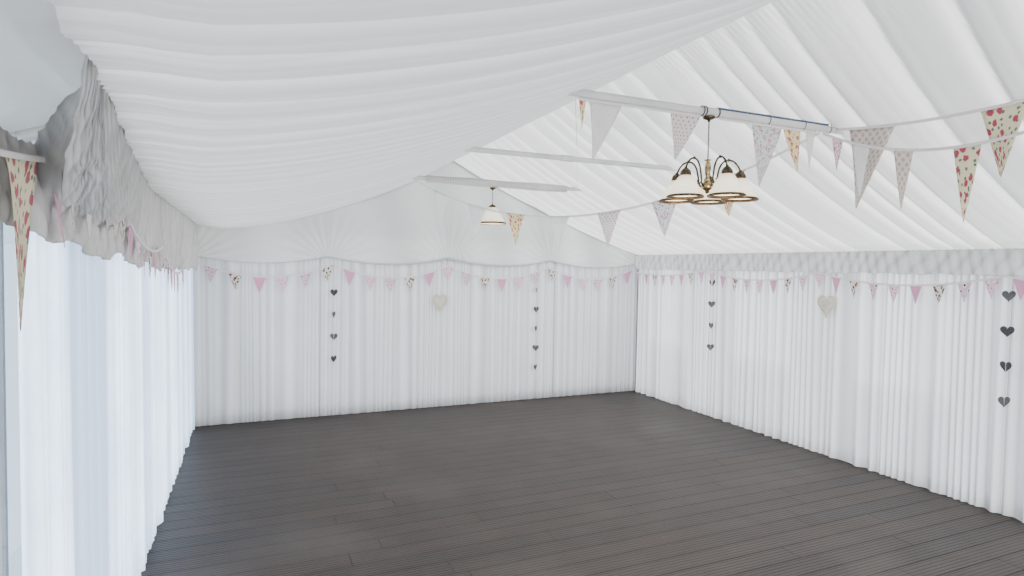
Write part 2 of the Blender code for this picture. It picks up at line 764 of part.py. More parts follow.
def make_bunting():
    """Small flags in swags round the walls."""
    print_cloth = finish("bunting_cloth", (0.85, 0.72, 0.74), 0.85)
    half = CURTAIN_X - CURTAIN_D / 2 - VALANCE_D - 3 * CLEAR
    face = LINING_HALF_L - CLEAR
    hooks = [-half + 2 * half * i / HEM_SWAGS for i in range(HEM_SWAGS + 1)]
    height_at = swags_between(hooks, HEM_Z - BACK_SWAG_DROP, BACK_SWAG_SAG)
    outline = garland_outline(-half, half, height_at, flag_row(-half, half, BACK_FLAG))
    add_object("bunting_back", slab_mesh(outline, across, (face - TAPE_T, face)), print_cloth)
    for side, sign in SIDES.items():
        top = valance_bottom(side) + VALANCE_H[side]
        hooks = [BAY * place for place in WALL_HOOK_BAYS[side]]
        ends = (hooks[0], hooks[-1])
        height_at = hung_between(hooks, [top - drop for drop in WALL_HOOK_DROPS[side]], WALL_SAGS[side])
        outline = garland_outline(*ends, height_at, wall_flags(side, *ends))
        depth = sorted((sign * (half + CLEAR), sign * (half + CLEAR - TAPE_T)))
        add_object(f"bunting_{side}", slab_mesh(outline, along, depth), print_cloth)


def make_pennants():
    """Long pennants on tapes under the middle tie, between two ties, and across the room between ties.

    The high tape is tied round two ties and starts beside them, and the others run under the ties.
    """
    print_cloth = finish("pennant_cloth", (0.88, 0.82, 0.74), 0.85)
    level = TIE_Z - TIE_R - CLEAR
    half_t = TAPE_T / 2
    depth = (CHANDELIER_Y - half_t, CHANDELIER_Y + half_t)
    for side in SIDES:
        outline = garland_outline(*TIE_TAPES[side], lambda u: level, TIE_PENNANTS[side])
        add_object(f"pennants_tie_{side}", slab_mesh(outline, across, depth), print_cloth)
    beside = TIE_R + CLEAR
    tapes = {
        "high": (HIGH_TAPE_X, HIGH_TAPE_TOP, beside, HIGH_TAPE_SAG, HIGH_PENNANTS),
        "low": (LOW_TAPE_X, level, 0, LOW_TAPE_SAG, LOW_PENNANTS),
    }
    for name, (x, top, setback, sag, flags) in tapes.items():
        hooks = (CHANDELIER_Y - BAY + setback, CHANDELIER_Y - setback)
        outline = garland_outline(*hooks, swags_between(hooks, top, sag), flags)
        add_object(f"pennants_{name}", slab_mesh(outline, along, (x - half_t, x + half_t)), print_cloth)
    ends = ((CROSS_TAPE_X[0], RUFFLED_TIE_Y), (CROSS_TAPE_X[1], CHANDELIER_Y))
    place = slanted(*ends)
    length = math.dist(*ends)
    flags = []
    for i in range(CROSS_PENNANTS):
        flags.append((CROSS_PENNANT_FIRST + CROSS_PENNANT_STEP * i, CROSS_PENNANT_W, CROSS_PENNANT_H))
    outline = garland_outline(0, length, swags_between((0, length), level, CROSS_TAPE_SAG), flags)
    add_object("pennants_across", slab_mesh(outline, place, (-half_t, half_t)), print_cloth)


def make_tie_cord():
    """A thin cord stretched under three ties, straight in plan."""
    cord = finish("cord_thread", (0.8, 0.8, 0.8), 0.9)
    z = TIE_Z - TIE_R - CLEAR - TIE_CORD_R
    path = [(x, CHANDELIER_Y + BAY * i, z) for i, x in enumerate(TIE_CORD_X)]
    add_object("tie_cord", round_off(tube_mesh(path, [TIE_CORD_R] * 3, 8, 0.5)), cord)


def make_blue_rod():
    """A thin dark blue rod that lies along the top of the middle tie."""
    paint = finish("blue_rod", (0.05, 0.08, 0.18), 0.35)
    z = TIE_Z + TIE_R + CLEAR + BLUE_ROD_R
    end = lining_reach("right", z + BLUE_ROD_R) - BLUE_ROD_END
    rod = rod_mesh((BLUE_ROD_FROM, CHANDELIER_Y, z), (end, CHANDELIER_Y, z), BLUE_ROD_R)
    add_object("blue_rod", round_off(rod), paint)


def heart_side(centre_u, centre_v, width, height):
    """Half of a heart's outline, from its notch round to its point."""
    points = []
    steps = 6
    for i in range(steps + 1):
        t = math.pi * i / steps
        u = round(math.sin(t) ** 3, 9) / 2
        v = (13 * math.cos(t) - 5 * math.cos(2 * t) - 2 * math.cos(3 * t) - math.cos(4 * t)) / 29
        points.append((centre_u + u * width, centre_v + v * height))
    return points


def heart_string_outline(u, top, bare, count):
    """A cord with hearts on it, as one outline."""
    right = [(u + STRING_W / 2, top)]
    for i in range(count):
        right += heart_side(u + STRING_W / 2, top - bare - HEART_STEP * i, HEART_W, HEART_H)
    return mirrored(right, u)


def make_heart_strings():
    glitter = finish("heart_glitter", (0.12, 0.12, 0.13), 0.3, 0.4)
    face = LINING_HALF_L + GABLE_LINING_T + CLEAR
    back_top = HEM_Z - HEM_SAG - HEART_STRING_GAP
    for number, (x, bare, count) in enumerate(BACK_STRINGS, 1):
        outline = heart_string_outline(x, back_top, bare, count)
        mesh = slab_mesh(outline, across, (face - STRING_W, face))
        add_object(f"heart_string_back_{number}", mesh, glitter)
    side_face = CURTAIN_X - CURTAIN_D / 2 - CLEAR
    side_top = valance_bottom("right") - CLEAR
    for number, (y, bare, count) in enumerate(RIGHT_STRINGS, 1):
        outline = heart_string_outline(y, side_top, bare, count)
        mesh = slab_mesh(outline, along, (side_face - STRING_W, side_face))
        add_object(f"heart_string_right_{number}", mesh, glitter)


def hanging_heart_mesh(place, face, u, v, top):
    """A thick heart with its back on a curtain's face, hung on a ribbon that runs up to top."""
    right = heart_side(u, v, HANGING_HEART_W, HANGING_HEART_H)
    heart = slab_mesh(mirrored(right, u), place, (face - HANGING_HEART_T, face))
    half = RIBBON_W / 2
    ribbon = [(u - half, v), (u + half, v), (u + half, top), (u - half, top)]
    strip = slab_mesh(ribbon, place, (face - 2 * RIBBON_T, face - RIBBON_T))
    return combined(heart, [("UNION", strip)])


def make_hanging_hearts():
    wicker = finish("cream_wicker", (0.86, 0.82, 0.72), 0.75)
    back_face = LINING_HALF_L + GABLE_LINING_T + CLEAR
    back_top = HEM_Z - HEM_SAG - HEART_STRING_GAP
    mesh = hanging_heart_mesh(across, back_face, BACK_HEART_X, BACK_HEART_Z, back_top)
    add_object("hanging_heart_back", mesh, wicker)
    side_face = CURTAIN_X - CURTAIN_D / 2 - CLEAR
    side_top = valance_bottom("right") - CLEAR
    mesh = hanging_heart_mesh(along, side_face, RIGHT_HEART_Y, RIGHT_HEART_Z, side_top)
    add_object("hanging_heart_right", mesh, wicker)


def main():
    clear_scene()
    make_frame()
    make_floor()
    make_covers()
    make_roof_lining()
    make_gable_linings()
    make_curtains()
    make_tie_ruffle()
    make_chandelier()
    make_pendant()
    make_bunting()
    make_pennants()
    make_tie_cord()
    make_blue_rod()
    make_heart_strings()
    make_hanging_hearts()


main()
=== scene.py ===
import math

import bmesh
import bpy
import numpy as np
from mathutils import Matrix, Vector


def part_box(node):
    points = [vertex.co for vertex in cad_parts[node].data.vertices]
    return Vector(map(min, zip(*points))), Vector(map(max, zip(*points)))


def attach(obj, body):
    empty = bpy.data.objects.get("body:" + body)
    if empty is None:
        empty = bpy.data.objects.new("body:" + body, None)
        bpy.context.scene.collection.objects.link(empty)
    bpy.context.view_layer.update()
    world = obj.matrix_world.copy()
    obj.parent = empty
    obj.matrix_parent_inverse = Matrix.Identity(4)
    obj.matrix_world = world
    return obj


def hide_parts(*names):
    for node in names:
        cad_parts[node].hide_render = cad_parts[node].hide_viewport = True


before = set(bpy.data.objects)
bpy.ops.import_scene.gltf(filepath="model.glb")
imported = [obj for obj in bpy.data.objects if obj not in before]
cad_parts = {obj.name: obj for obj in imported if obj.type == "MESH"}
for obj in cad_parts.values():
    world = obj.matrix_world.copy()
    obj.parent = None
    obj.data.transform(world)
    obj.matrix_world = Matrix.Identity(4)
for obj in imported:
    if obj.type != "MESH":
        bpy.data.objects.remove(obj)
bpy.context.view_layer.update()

# Camera. It stands where the photograph was taken: inside, near the left wall and 1.73 m up. It looks towards the
# far right corner, a little downwards, and is held a little askew.
EYE = Vector((-2.14, -2.44, 1.73))
EYE_TURN, EYE_DIP, EYE_ROLL = math.radians(23.45), math.radians(2.1), math.radians(0.86)
ahead = Vector((math.sin(EYE_TURN) * math.cos(EYE_DIP), math.cos(EYE_TURN) * math.cos(EYE_DIP), -math.sin(EYE_DIP)))
level_right = Vector((math.cos(EYE_TURN), -math.sin(EYE_TURN), 0))
level_up = level_right.cross(ahead)
eye_right = level_right * math.cos(EYE_ROLL) + level_up * math.sin(EYE_ROLL)
eye_up = level_up * math.cos(EYE_ROLL) - level_right * math.sin(EYE_ROLL)
eye_data = bpy.data.cameras.new("eye")
eye_data.sensor_width = 36
eye_data.lens = 21.09
eye_data.clip_start = 0.02
eye = bpy.data.objects.new("eye", eye_data)
eye.matrix_world = Matrix.Translation(EYE) @ Matrix((eye_right, eye_up, -ahead)).transposed().to_4x4()
bpy.context.scene.collection.objects.link(eye)
bpy.context.scene.camera = eye


# Strings of hearts. Dark glitter card is cut to hearts, which are glued at equal steps on pale twine. Two strings hang
# from the hem of the back lining and two from the right valance, and each heart turns on its twine as it likes.
TWINE_D = 0.003
HEART_W, HEART_H, HEART_T, HEART_STEP = 0.082, 0.082, 0.0035, 0.245
HEART_TURNS = {
    "heart_string_back_1": (0.29, (10, 58, -15, 35)),
    "heart_string_back_2": (0.27, (50, 12, 42, -20, 35)),
    "heart_string_right_1": (0.13, (12, 60, -6, 62)),
    "heart_string_right_2": (0.13, (48, 15, -10, 60)),
}
FINGER = 0.012


def grid_faces(rows, columns, closed=False):
    """Quads between neighbours in a grid numbered row by row. closed joins each row's last point to its first."""
    row, column = np.meshgrid(np.arange(rows - 1), np.arange(columns - (not closed)), indexing="ij")
    after = (column + 1) % columns
    corners = [row * columns + column, (row + 1) * columns + column, (row + 1) * columns + after, row * columns + after]
    return np.stack(corners, axis=-1).reshape(-1, 4)


def joined(shapes):
    """Several shapes (points, groups of faces) as one: corner numbers move up by the number of points before."""
    starts = np.cumsum([0] + [len(points) for points, _ in shapes])
    groups = [faces + start for (_, group), start in zip(shapes, starts) for faces in group]
    return np.concatenate([points for points, _ in shapes]), groups


def unit(vectors):
    """Each vector divided by its length."""
    return vectors / np.linalg.norm(vectors, axis=-1, keepdims=True)


def rod(path, radius, sides=10, plane=(0, 0, 1)):
    """A round bar: circles of the radius carried along a path, square to it, with a fan of triangles on both ends.

    plane is a direction that the path never takes, and the normal of its plane where it lies in one.
    """
    path = np.asarray(path, float)
    heading = unit(np.gradient(path, axis=0))
    side = unit(np.cross(heading, np.asarray(plane, float)))
    rise = np.cross(side, heading)
    angle = np.linspace(0, 2 * np.pi, sides, endpoint=False)[:, None]
    size = np.broadcast_to(np.asarray(radius, float), len(path))[:, None, None]
    around = side[:, None] * np.cos(angle) + rise[:, None] * np.sin(angle)
    rings = (path[:, None] + size * around).reshape(-1, 3)
    first = np.arange(sides)
    last = first + (len(path) - 1) * sides
    count = len(rings)
    fans = [
        np.stack([np.full(sides, count), np.roll(first, -1), first], axis=-1),
        np.stack([np.full(sides, count + 1), last, np.roll(last, -1)], axis=-1),
    ]
    return np.concatenate([rings, path[:1], path[-1:]]), [grid_faces(len(path), sides, True), *fans]


def turned(profile, centre=(0, 0, 0), sides=24):
    """A lathe shape: a profile of (radius, height) turned about an upright axis. A radius of 0 closes it to a pole."""
    profile = np.asarray(profile, float)
    rings = profile[profile[:, 0] > 0]
    angle = np.linspace(0, 2 * np.pi, sides, endpoint=False)
    radius, height = rings[:, :1], np.repeat(rings[:, 1:], sides, axis=1)
    points = np.stack([radius * np.cos(angle), radius * np.sin(angle), height], axis=-1).reshape(-1, 3)
    groups = [grid_faces(len(rings), sides, True)]
    circle = np.arange(sides)
    poles = []
    if profile[0, 0] == 0:
        groups.append(np.stack([np.full(sides, len(points)), circle, np.roll(circle, -1)], axis=-1))
        poles.append((0, 0, profile[0, 1]))
    if profile[-1, 0] == 0:
        last = circle + (len(rings) - 1) * sides
        groups.append(np.stack([np.full(sides, len(points) + len(poles)), np.roll(last, -1), last], axis=-1))
        poles.append((0, 0, profile[-1, 1]))
    if poles:
        points = np.concatenate([points, poles])
    return points + np.asarray(centre, float), groups


def heart_outline(count):
    """A heart 1 wide and 1 high round its middle: across is sine cubed, up is a sum of four cosines."""
    t = np.linspace(0, 2 * np.pi, count, endpoint=False)
    up = (13 * np.cos(t) - 5 * np.cos(2 * t) - 2 * np.cos(3 * t) - np.cos(4 * t)) / 29
    return np.stack([np.sin(t) ** 3 / 2, up], axis=-1)


def pillow(width, height, thickness, count=40, rings=5, bulge=0.5):
    """A heart with a swelled front and back: rings shrink the outline by r, and depth is half the thickness times
    (1 - r squared) to the power of bulge. u is across, v is up, w is the depth."""
    outline = heart_outline(count) * (width, height)
    reach = np.linspace(0.08, 1, rings)[:, None, None]
    flat = outline[None] * reach + (1 - reach) * (0, 0.08 * height)
    swell = thickness / 2 * (1 - reach[..., 0] ** 2) ** bulge
    depth = np.broadcast_to(swell, flat.shape[:2])
    front = np.concatenate([flat, depth[..., None]], axis=-1)
    back = np.concatenate([flat, -depth[..., None]], axis=-1)[:-1]
    rows = np.concatenate([front, back[::-1]]).reshape(-1, 3)
    circle = np.arange(count)
    last = circle + (2 * rings - 2) * count
    middle = (0, 0.08 * height)
    poles = [(*middle, thickness / 2), (*middle, -thickness / 2)]
    fans = [
        np.stack([np.full(count, len(rows)), circle, np.roll(circle, -1)], axis=-1),
        np.stack([np.full(count, len(rows) + 1), np.roll(last, -1), last], axis=-1),
    ]
    return np.concatenate([rows, poles]), [grid_faces(2 * rings - 1, count, True), *fans]


def hung(shape, centre, turn=0.0, face="back"):
    """Stands a shape of (across, up, depth) upright at a point, facing back or right, turned about its own upright."""
    points, groups = shape
    angle = math.radians(turn) + (math.pi / 2 if face == "right" else 0)
    across, up, depth = points.T
    x = across * math.cos(angle) - depth * math.sin(angle)
    y = across * math.sin(angle) + depth * math.cos(angle)
    return np.stack([x, y, up], axis=-1) + np.asarray(centre, float), groups


def new_object(name, mesh, finishes):
    """Puts a mesh in the marquee as one piece, with its finishes, under the root body."""
    piece = bpy.data.objects.new(name, mesh)
    bpy.context.scene.collection.objects.link(piece)
    for finish in finishes:
        mesh.materials.append(finish)
    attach(piece, "root")
    return piece


def solid(name, shape, finish, crease=35):
    """A closed piece from a shape: faces turned outwards, smooth except at edges sharper than crease degrees."""
    points, groups = shape
    mesh = bpy.data.meshes.new(name)
    mesh.from_pydata(points.tolist(), [], [face for group in groups for face in group.tolist()])
    builder = bmesh.new()
    builder.from_mesh(mesh)
    bmesh.ops.recalc_face_normals(builder, faces=builder.faces[:])
    builder.to_mesh(mesh)
    builder.free()
    mesh.shade_smooth()
    mesh.set_sharp_from_angle(angle=math.radians(crease))
    return new_object(name, mesh, [finish])


def new_finish(name, colour, roughness, metallic=0.0):
    """A material, its nodes and its shader, with the plain values set on the shader's own sockets."""
    material = bpy.data.materials.new(name)
    material.use_nodes = True
    nodes = material.node_tree.nodes
    shader = nodes["Principled BSDF"]
    shader.inputs["Base Color"].default_value = (*colour, 1)
    shader.inputs["Roughness"].default_value = roughness
    shader.inputs["Metallic"].default_value = metallic
    return material, nodes, shader


def put(material, kind, settings=None, **links):
    """A new node: its own settings, and each named input set to a value or linked to another node's output."""
    node = material.node_tree.nodes.new(kind)
    for key, value in (settings or {}).items():
        setattr(node, key, value)
    for key, value in links.items():
        socket = node.inputs[int(key[1:])] if key[1:].isdigit() else node.inputs[key.replace("_", " ")]
        if isinstance(value, bpy.types.NodeSocket):
            material.node_tree.links.new(value, socket)
        else:
            socket.default_value = value
    return node


def bumped(material, height, distance, strength=1.0):
    """Links a height output to the shader's normal through a Bump node."""
    bump = put(material, "ShaderNodeBump", Height=height, Distance=distance, Strength=strength)
    shader = material.node_tree.nodes["Principled BSDF"]
    material.node_tree.links.new(bump.outputs[0], shader.inputs["Normal"])


def blended(material, share, first, second):
    """A colour output that goes from the first colour to the second as share goes from 0 to 1."""
    mix = put(material, "ShaderNodeMix", {"data_type": "RGBA"}, i0=share)
    for socket, colour in ((mix.inputs[6], first), (mix.inputs[7], second)):
        if isinstance(colour, bpy.types.NodeSocket):
            material.node_tree.links.new(colour, socket)
        else:
            socket.default_value = (*colour, 1)
    return mix.outputs[2]


def coloured(material, colour):
    """Links a colour output to the shader's base colour."""
    shader = material.node_tree.nodes["Principled BSDF"]
    material.node_tree.links.new(colour, shader.inputs["Base Color"])


def object_place(material):
    return put(material, "ShaderNodeTexCoord").outputs["Object"]


def cloth_place(material):
    return put(material, "ShaderNodeTexCoord").outputs["UV"]


def stepped(material, value, low, high):
    """A share that goes from 0 at low to 1 at high, and stays there."""
    return put(material, "ShaderNodeMapRange", Value=value, From_Min=low, From_Max=high).outputs[0]


def glitter_finish():
    """Black card with flakes: small random cells that differ in shade, with a small bump in each."""
    material, _, shader = new_finish("heart_glitter", (0.03, 0.032, 0.034), 0.35, 0.55)
    cells = put(material, "ShaderNodeTexVoronoi", Vector=object_place(material), Scale=900.0)
    grains = stepped(material, cells.outputs["Color"], 0.2, 0.95)
    coloured(material, blended(material, grains, (0.012, 0.013, 0.014), (0.13, 0.135, 0.14)))
    bumped(material, cells.outputs["Distance"], 0.0006)
    return material


def twine_finish():
    """Pale twine: plies wind round it as slanted bands in the bump, with painted shade in the grooves between them."""
    material, _, shader = new_finish("cord_thread", (0.62, 0.61, 0.58), 0.9)
    shader.inputs["Sheen Weight"].default_value = 0.3
    plies = put(
        material, "ShaderNodeTexWave", {"bands_direction": "DIAGONAL"}, Vector=object_place(material), Scale=140.0,
        Distortion=1.5,
    )
    # Painted shade: the twine is darker where the plies' bump dips between them.
    coloured(material, blended(material, plies.outputs["Fac"], (0.46, 0.45, 0.43), (0.72, 0.71, 0.68)))
    bumped(material, plies.outputs["Fac"], 0.0005)
    return material


heart_glitter = glitter_finish()
twine = twine_finish()
for node, (bare, turns) in HEART_TURNS.items():
    low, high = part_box(node)
    facing = "right" if "right" in node else "back"
    ahead_of_cloth = (-FINGER, 0, 0) if facing == "right" else (0, -FINGER, 0)
    start = np.array((low + high) / 2) + ahead_of_cloth
    start[2] = high.z
    depths = bare + HEART_STEP * np.arange(len(turns))
    drop = depths[-1] + HEART_H * 0.3
    depth = np.linspace(0, drop, 24)[:, None]
    sway = 0.002 * np.sin(depth * 7) * (1, 1, 0)
    route = start + sway * (depth > 0) - depth * (0, 0, 1)
    string = solid(node + "_twine", rod(route, TWINE_D / 2, 8, (1, 0, 0)), twine)
    places = [(start[0], start[1], start[2] - below) for below in depths]
    card = pillow(HEART_W, HEART_H, HEART_T, 36, 4, 0.35)
    cards = joined([hung(card, place, turn, facing) for place, turn in zip(places, turns)])
    hearts = solid(node + "_hearts", cards, heart_glitter, 60)
    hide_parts(node)
    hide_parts(node)


# Tube frame. Arches, ridge and eave tubes are steel tube under white powder coat, pushed into welded sleeves and held
# with grub screws. The coat is dull, a little dusty on top, and scuffed grey where tubes slide into sleeves.
TIE_Z, TIE_R, SLEEVE_R = 2.53, 0.019, 0.024
CHANDELIER_Y = 0.0


def powder_coat_finish():
    """White paint with faint orange peel, clouds of dust and small grey scuffs."""
    material, _, shader = new_finish("powder_coat", (0.52, 0.52, 0.515), 0.34)
    place = object_place(material)
    dust = put(material, "ShaderNodeTexNoise", Vector=place, Scale=4.0, Detail=4.0)
    scuff = put(material, "ShaderNodeTexNoise", Vector=place, Scale=38.0, Detail=6.0, Roughness=0.7)
    clean = blended(material, stepped(material, dust.outputs[0], 0.35, 0.7), (0.44, 0.44, 0.435), (0.56, 0.56, 0.555))
    worn = blended(material, stepped(material, scuff.outputs[0], 0.63, 0.7), clean, (0.27, 0.28, 0.29))
    coloured(material, worn)
    peel = put(material, "ShaderNodeTexNoise", Vector=place, Scale=420.0)
    bumped(material, peel.outputs[0], 0.0004, 0.5)
    return material


def rubber_finish():
    """Black plastic with a soft sheen and a fine moulded grain."""
    material, _, shader = new_finish("black_plastic", (0.02, 0.02, 0.022), 0.45)
    grain = put(material, "ShaderNodeTexNoise", Vector=object_place(material), Scale=600.0)
    coloured(material, blended(material, grain.outputs[0], (0.012, 0.012, 0.014), (0.035, 0.035, 0.038)))
    bumped(material, grain.outputs[0], 0.0003)
    return material


powder_coat = powder_coat_finish()
black_plastic = rubber_finish()
for node in [f"arch_{number}" for number in range(1, 8)] + ["ridge_tube", "eave_tube_left", "eave_tube_right"]:
    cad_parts[node].data.materials.clear()
    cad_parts[node].data.materials.append(powder_coat)


def clip_round(x, y, radius, width, thickness):
    """A band round a tie: a rectangle turned about the tie's own line."""
    outer = radius + thickness
    profile = [(radius, 0), (outer, 0), (outer, width), (radius, width), (radius, 0)]
    points, groups = turned(profile, sides=28)
    height, side = points[:, 2].copy(), points[:, 0].copy()
    return np.stack([x + height, y + points[:, 1], TIE_Z + side], axis=-1), groups


clips = [clip_round(x, CHANDELIER_Y, SLEEVE_R + 0.0004, w, 0.0025) for x, w in ((-0.052, 0.006), (-0.036, 0.006))]
clips += [clip_round(x, CHANDELIER_Y, SLEEVE_R + 0.0004, 0.008, 0.0025) for x in (0.044,)]
clips = solid("sleeve_bands", joined(clips), black_plastic, 30)


# Floor. Dark stained boards with shallow grooves lie across the marquee on the ground, butted end to end with small
# gaps, and their long edges are eased. Feet have dulled the middle.
BOARD_W, BOARD_GAP, GROOVES, GROOVE_D = 0.145, 0.004, 5, 0.0018


def boards_finish():
    """Dark brown stain: long grain streaks along X, a different shade for each board, and dusty dull patches."""
    material, _, shader = new_finish("dark_boards", (0.05, 0.035, 0.028), 0.5)
    place = object_place(material)
    long_grain = put(material, "ShaderNodeMapping", Vector=place, Scale=(1.2, 26.0, 26.0))
    grain = put(material, "ShaderNodeTexNoise", Vector=long_grain.outputs[0], Scale=2.0, Detail=8.0, Roughness=0.65)
    shade = put(material, "ShaderNodeAttribute", {"attribute_name": "board_shade"})
    dust = put(material, "ShaderNodeTexNoise", Vector=place, Scale=1.3, Detail=5.0)
    stain = blended(material, grain.outputs[0], (0.012, 0.008, 0.006), (0.062, 0.042, 0.031))
    varied = blended(material, shade.outputs["Fac"], stain, (0.022, 0.016, 0.013))
    dusty = stepped(material, dust.outputs[0], 0.5, 0.75)
    coloured(material, blended(material, dusty, varied, (0.062, 0.051, 0.043)))
    dull = put(material, "ShaderNodeMapRange", Value=dust.outputs[0], To_Min=0.36, To_Max=0.68)
    material.node_tree.links.new(dull.outputs[0], shader.inputs["Roughness"])
    bumped(material, grain.outputs[0], 0.0012)
    return material


floor_low, floor_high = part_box("floor_boards")
run = floor_high.y - floor_low.y
count = int(run / BOARD_W)
pitch = (run + BOARD_GAP) / count
width = pitch - BOARD_GAP
ease = 0.003
groove_at = (np.arange(GROOVES) + 0.5) / GROOVES * (width - 4 * ease) + 2 * ease
groove = np.stack([groove_at - 0.005, groove_at - 0.002, groove_at + 0.002, groove_at + 0.005], axis=-1).ravel()
groove_z = np.tile([0, -GROOVE_D, -GROOVE_D, 0], GROOVES)
across_board = np.concatenate([[0, 0, ease], groove, [width - ease, width, width]])
up_board = np.concatenate([[0, floor_high.z - ease, floor_high.z], floor_high.z + groove_z,
                           [floor_high.z, floor_high.z - ease, 0]])
draw = np.random.default_rng(7)
planks, shades = [], []
for row in range(count):
    joints = np.sort(floor_low.x + (floor_high.x - floor_low.x) * np.array([draw.uniform(0.2, 0.45), draw.uniform(0.55, 0.85)]))
    ends = [floor_low.x, *joints, floor_high.x]
    for a, b in zip(ends, ends[1:]):
        cut = np.array([a, b - 0.003])[:, None]
        y = floor_low.y + row * pitch + across_board
        points = np.stack([np.broadcast_to(cut, (2, len(y))), np.tile(y, (2, 1)), np.tile(up_board, (2, 1))], axis=-1)
        ring = np.arange(len(y))
        planks.append((points.reshape(-1, 3), [grid_faces(2, len(y), True), ring[None, ::-1], ring[None] + len(y)]))
        shades.append(np.full(2 * len(y), draw.uniform(0, 0.8)))
boards = solid("boards", joined(planks), boards_finish(), 25)
boards.data.attributes.new("board_shade", "FLOAT", "POINT").data.foreach_set("value", np.concatenate(shades))
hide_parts("floor_boards")


# Roof and walls. White coated polyester is welded in panels one bay wide, with a double strip on each weld, and pulled
# over the tubes. Each wall panel has a clear window with a round head and white bars welded on the film.
BAY, BAYS = 1.5, 6
WINDOW_W, SILL, TRANSOM, SPRING, HEAD = 0.86, 0.70, 1.25, 1.40, 1.75
STRIP_W, STRIP_T = 0.045, 0.0012
BAR_W, BAR_T = 0.042, 0.0015


def coated_finish():
    """Coated polyester: a fine scrim shows as crossed threads, with slow ripples and a dusty cast."""
    material, _, shader = new_finish("coated_cloth", (0.80, 0.81, 0.80), 0.42)
    shader.inputs["Coat Weight"].default_value = 0.15
    place = object_place(material)
    cast = put(material, "ShaderNodeTexNoise", Vector=place, Scale=1.6, Detail=5.0)
    coloured(material, blended(material, cast.outputs[0], (0.70, 0.71, 0.69), (0.86, 0.87, 0.86)))
    threads = [
        put(material, "ShaderNodeTexWave", {"bands_direction": way}, Vector=place, Scale=160.0).outputs["Fac"]
        for way in ("X", "Y", "Z")
    ]
    first = put(material, "ShaderNodeMath", {"operation": "MAXIMUM"}, i0=threads[0], i1=threads[1])
    scrim = put(material, "ShaderNodeMath", {"operation": "MAXIMUM"}, i0=first.outputs[0], i1=threads[2])
    ripple = put(material, "ShaderNodeTexNoise", Vector=place, Scale=5.0, Detail=2.0)
    both = put(material, "ShaderNodeMath", {"operation": "MULTIPLY_ADD"}, i0=scrim.outputs[0], i1=0.012, i2=ripple.outputs[0])
    bumped(material, both.outputs[0], 0.012)
    return material


def film_finish():
    """Clear flexible film with slow ripples that bend what shows through it."""
    material, _, shader = new_finish("clear_film", (0.93, 0.96, 0.97), 0.08)
    shader.inputs["Alpha"].default_value = 0.16
    place = object_place(material)
    haze = put(material, "ShaderNodeTexNoise", Vector=place, Scale=3.0, Detail=4.0)
    coloured(material, blended(material, haze.outputs[0], (0.86, 0.90, 0.91), (0.97, 0.98, 0.98)))
    bumped(material, haze.outputs[0], 0.004)
    return material


coated = coated_finish()
film = film_finish()
for node in ("roof_cover_left", "roof_cover_right", "wall_left", "wall_right", "gable_cover_back",
             "gable_cover_front", "wall_front_left", "wall_front_right"):
    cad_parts[node].data.materials.clear()
    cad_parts[node].data.materials.append(coated)
for node in ("windows_left", "windows_right"):
    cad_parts[node].data.materials.clear()
    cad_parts[node].data.materials.append(film)


def strip(route, across, width, lift, thickness):
    """A flat band along a route: four corners carried along it, spread across by the width and raised by lift."""
    route, across, lift = (np.asarray(value, float) for value in (route, across, lift))
    across = np.broadcast_to(across, route.shape)
    lift = np.broadcast_to(lift, route.shape)
    base = route + lift * 0.0002
    corners = [base - across * width / 2, base - across * width / 2 + lift * thickness,
               base + across * width / 2 + lift * thickness, base + across * width / 2]
    points = np.stack(corners, axis=1)
    end = np.arange(4)[None]
    return points.reshape(-1, 3), [grid_faces(len(route), 4, True), end, end[:, ::-1] + 4 * (len(route) - 1)]


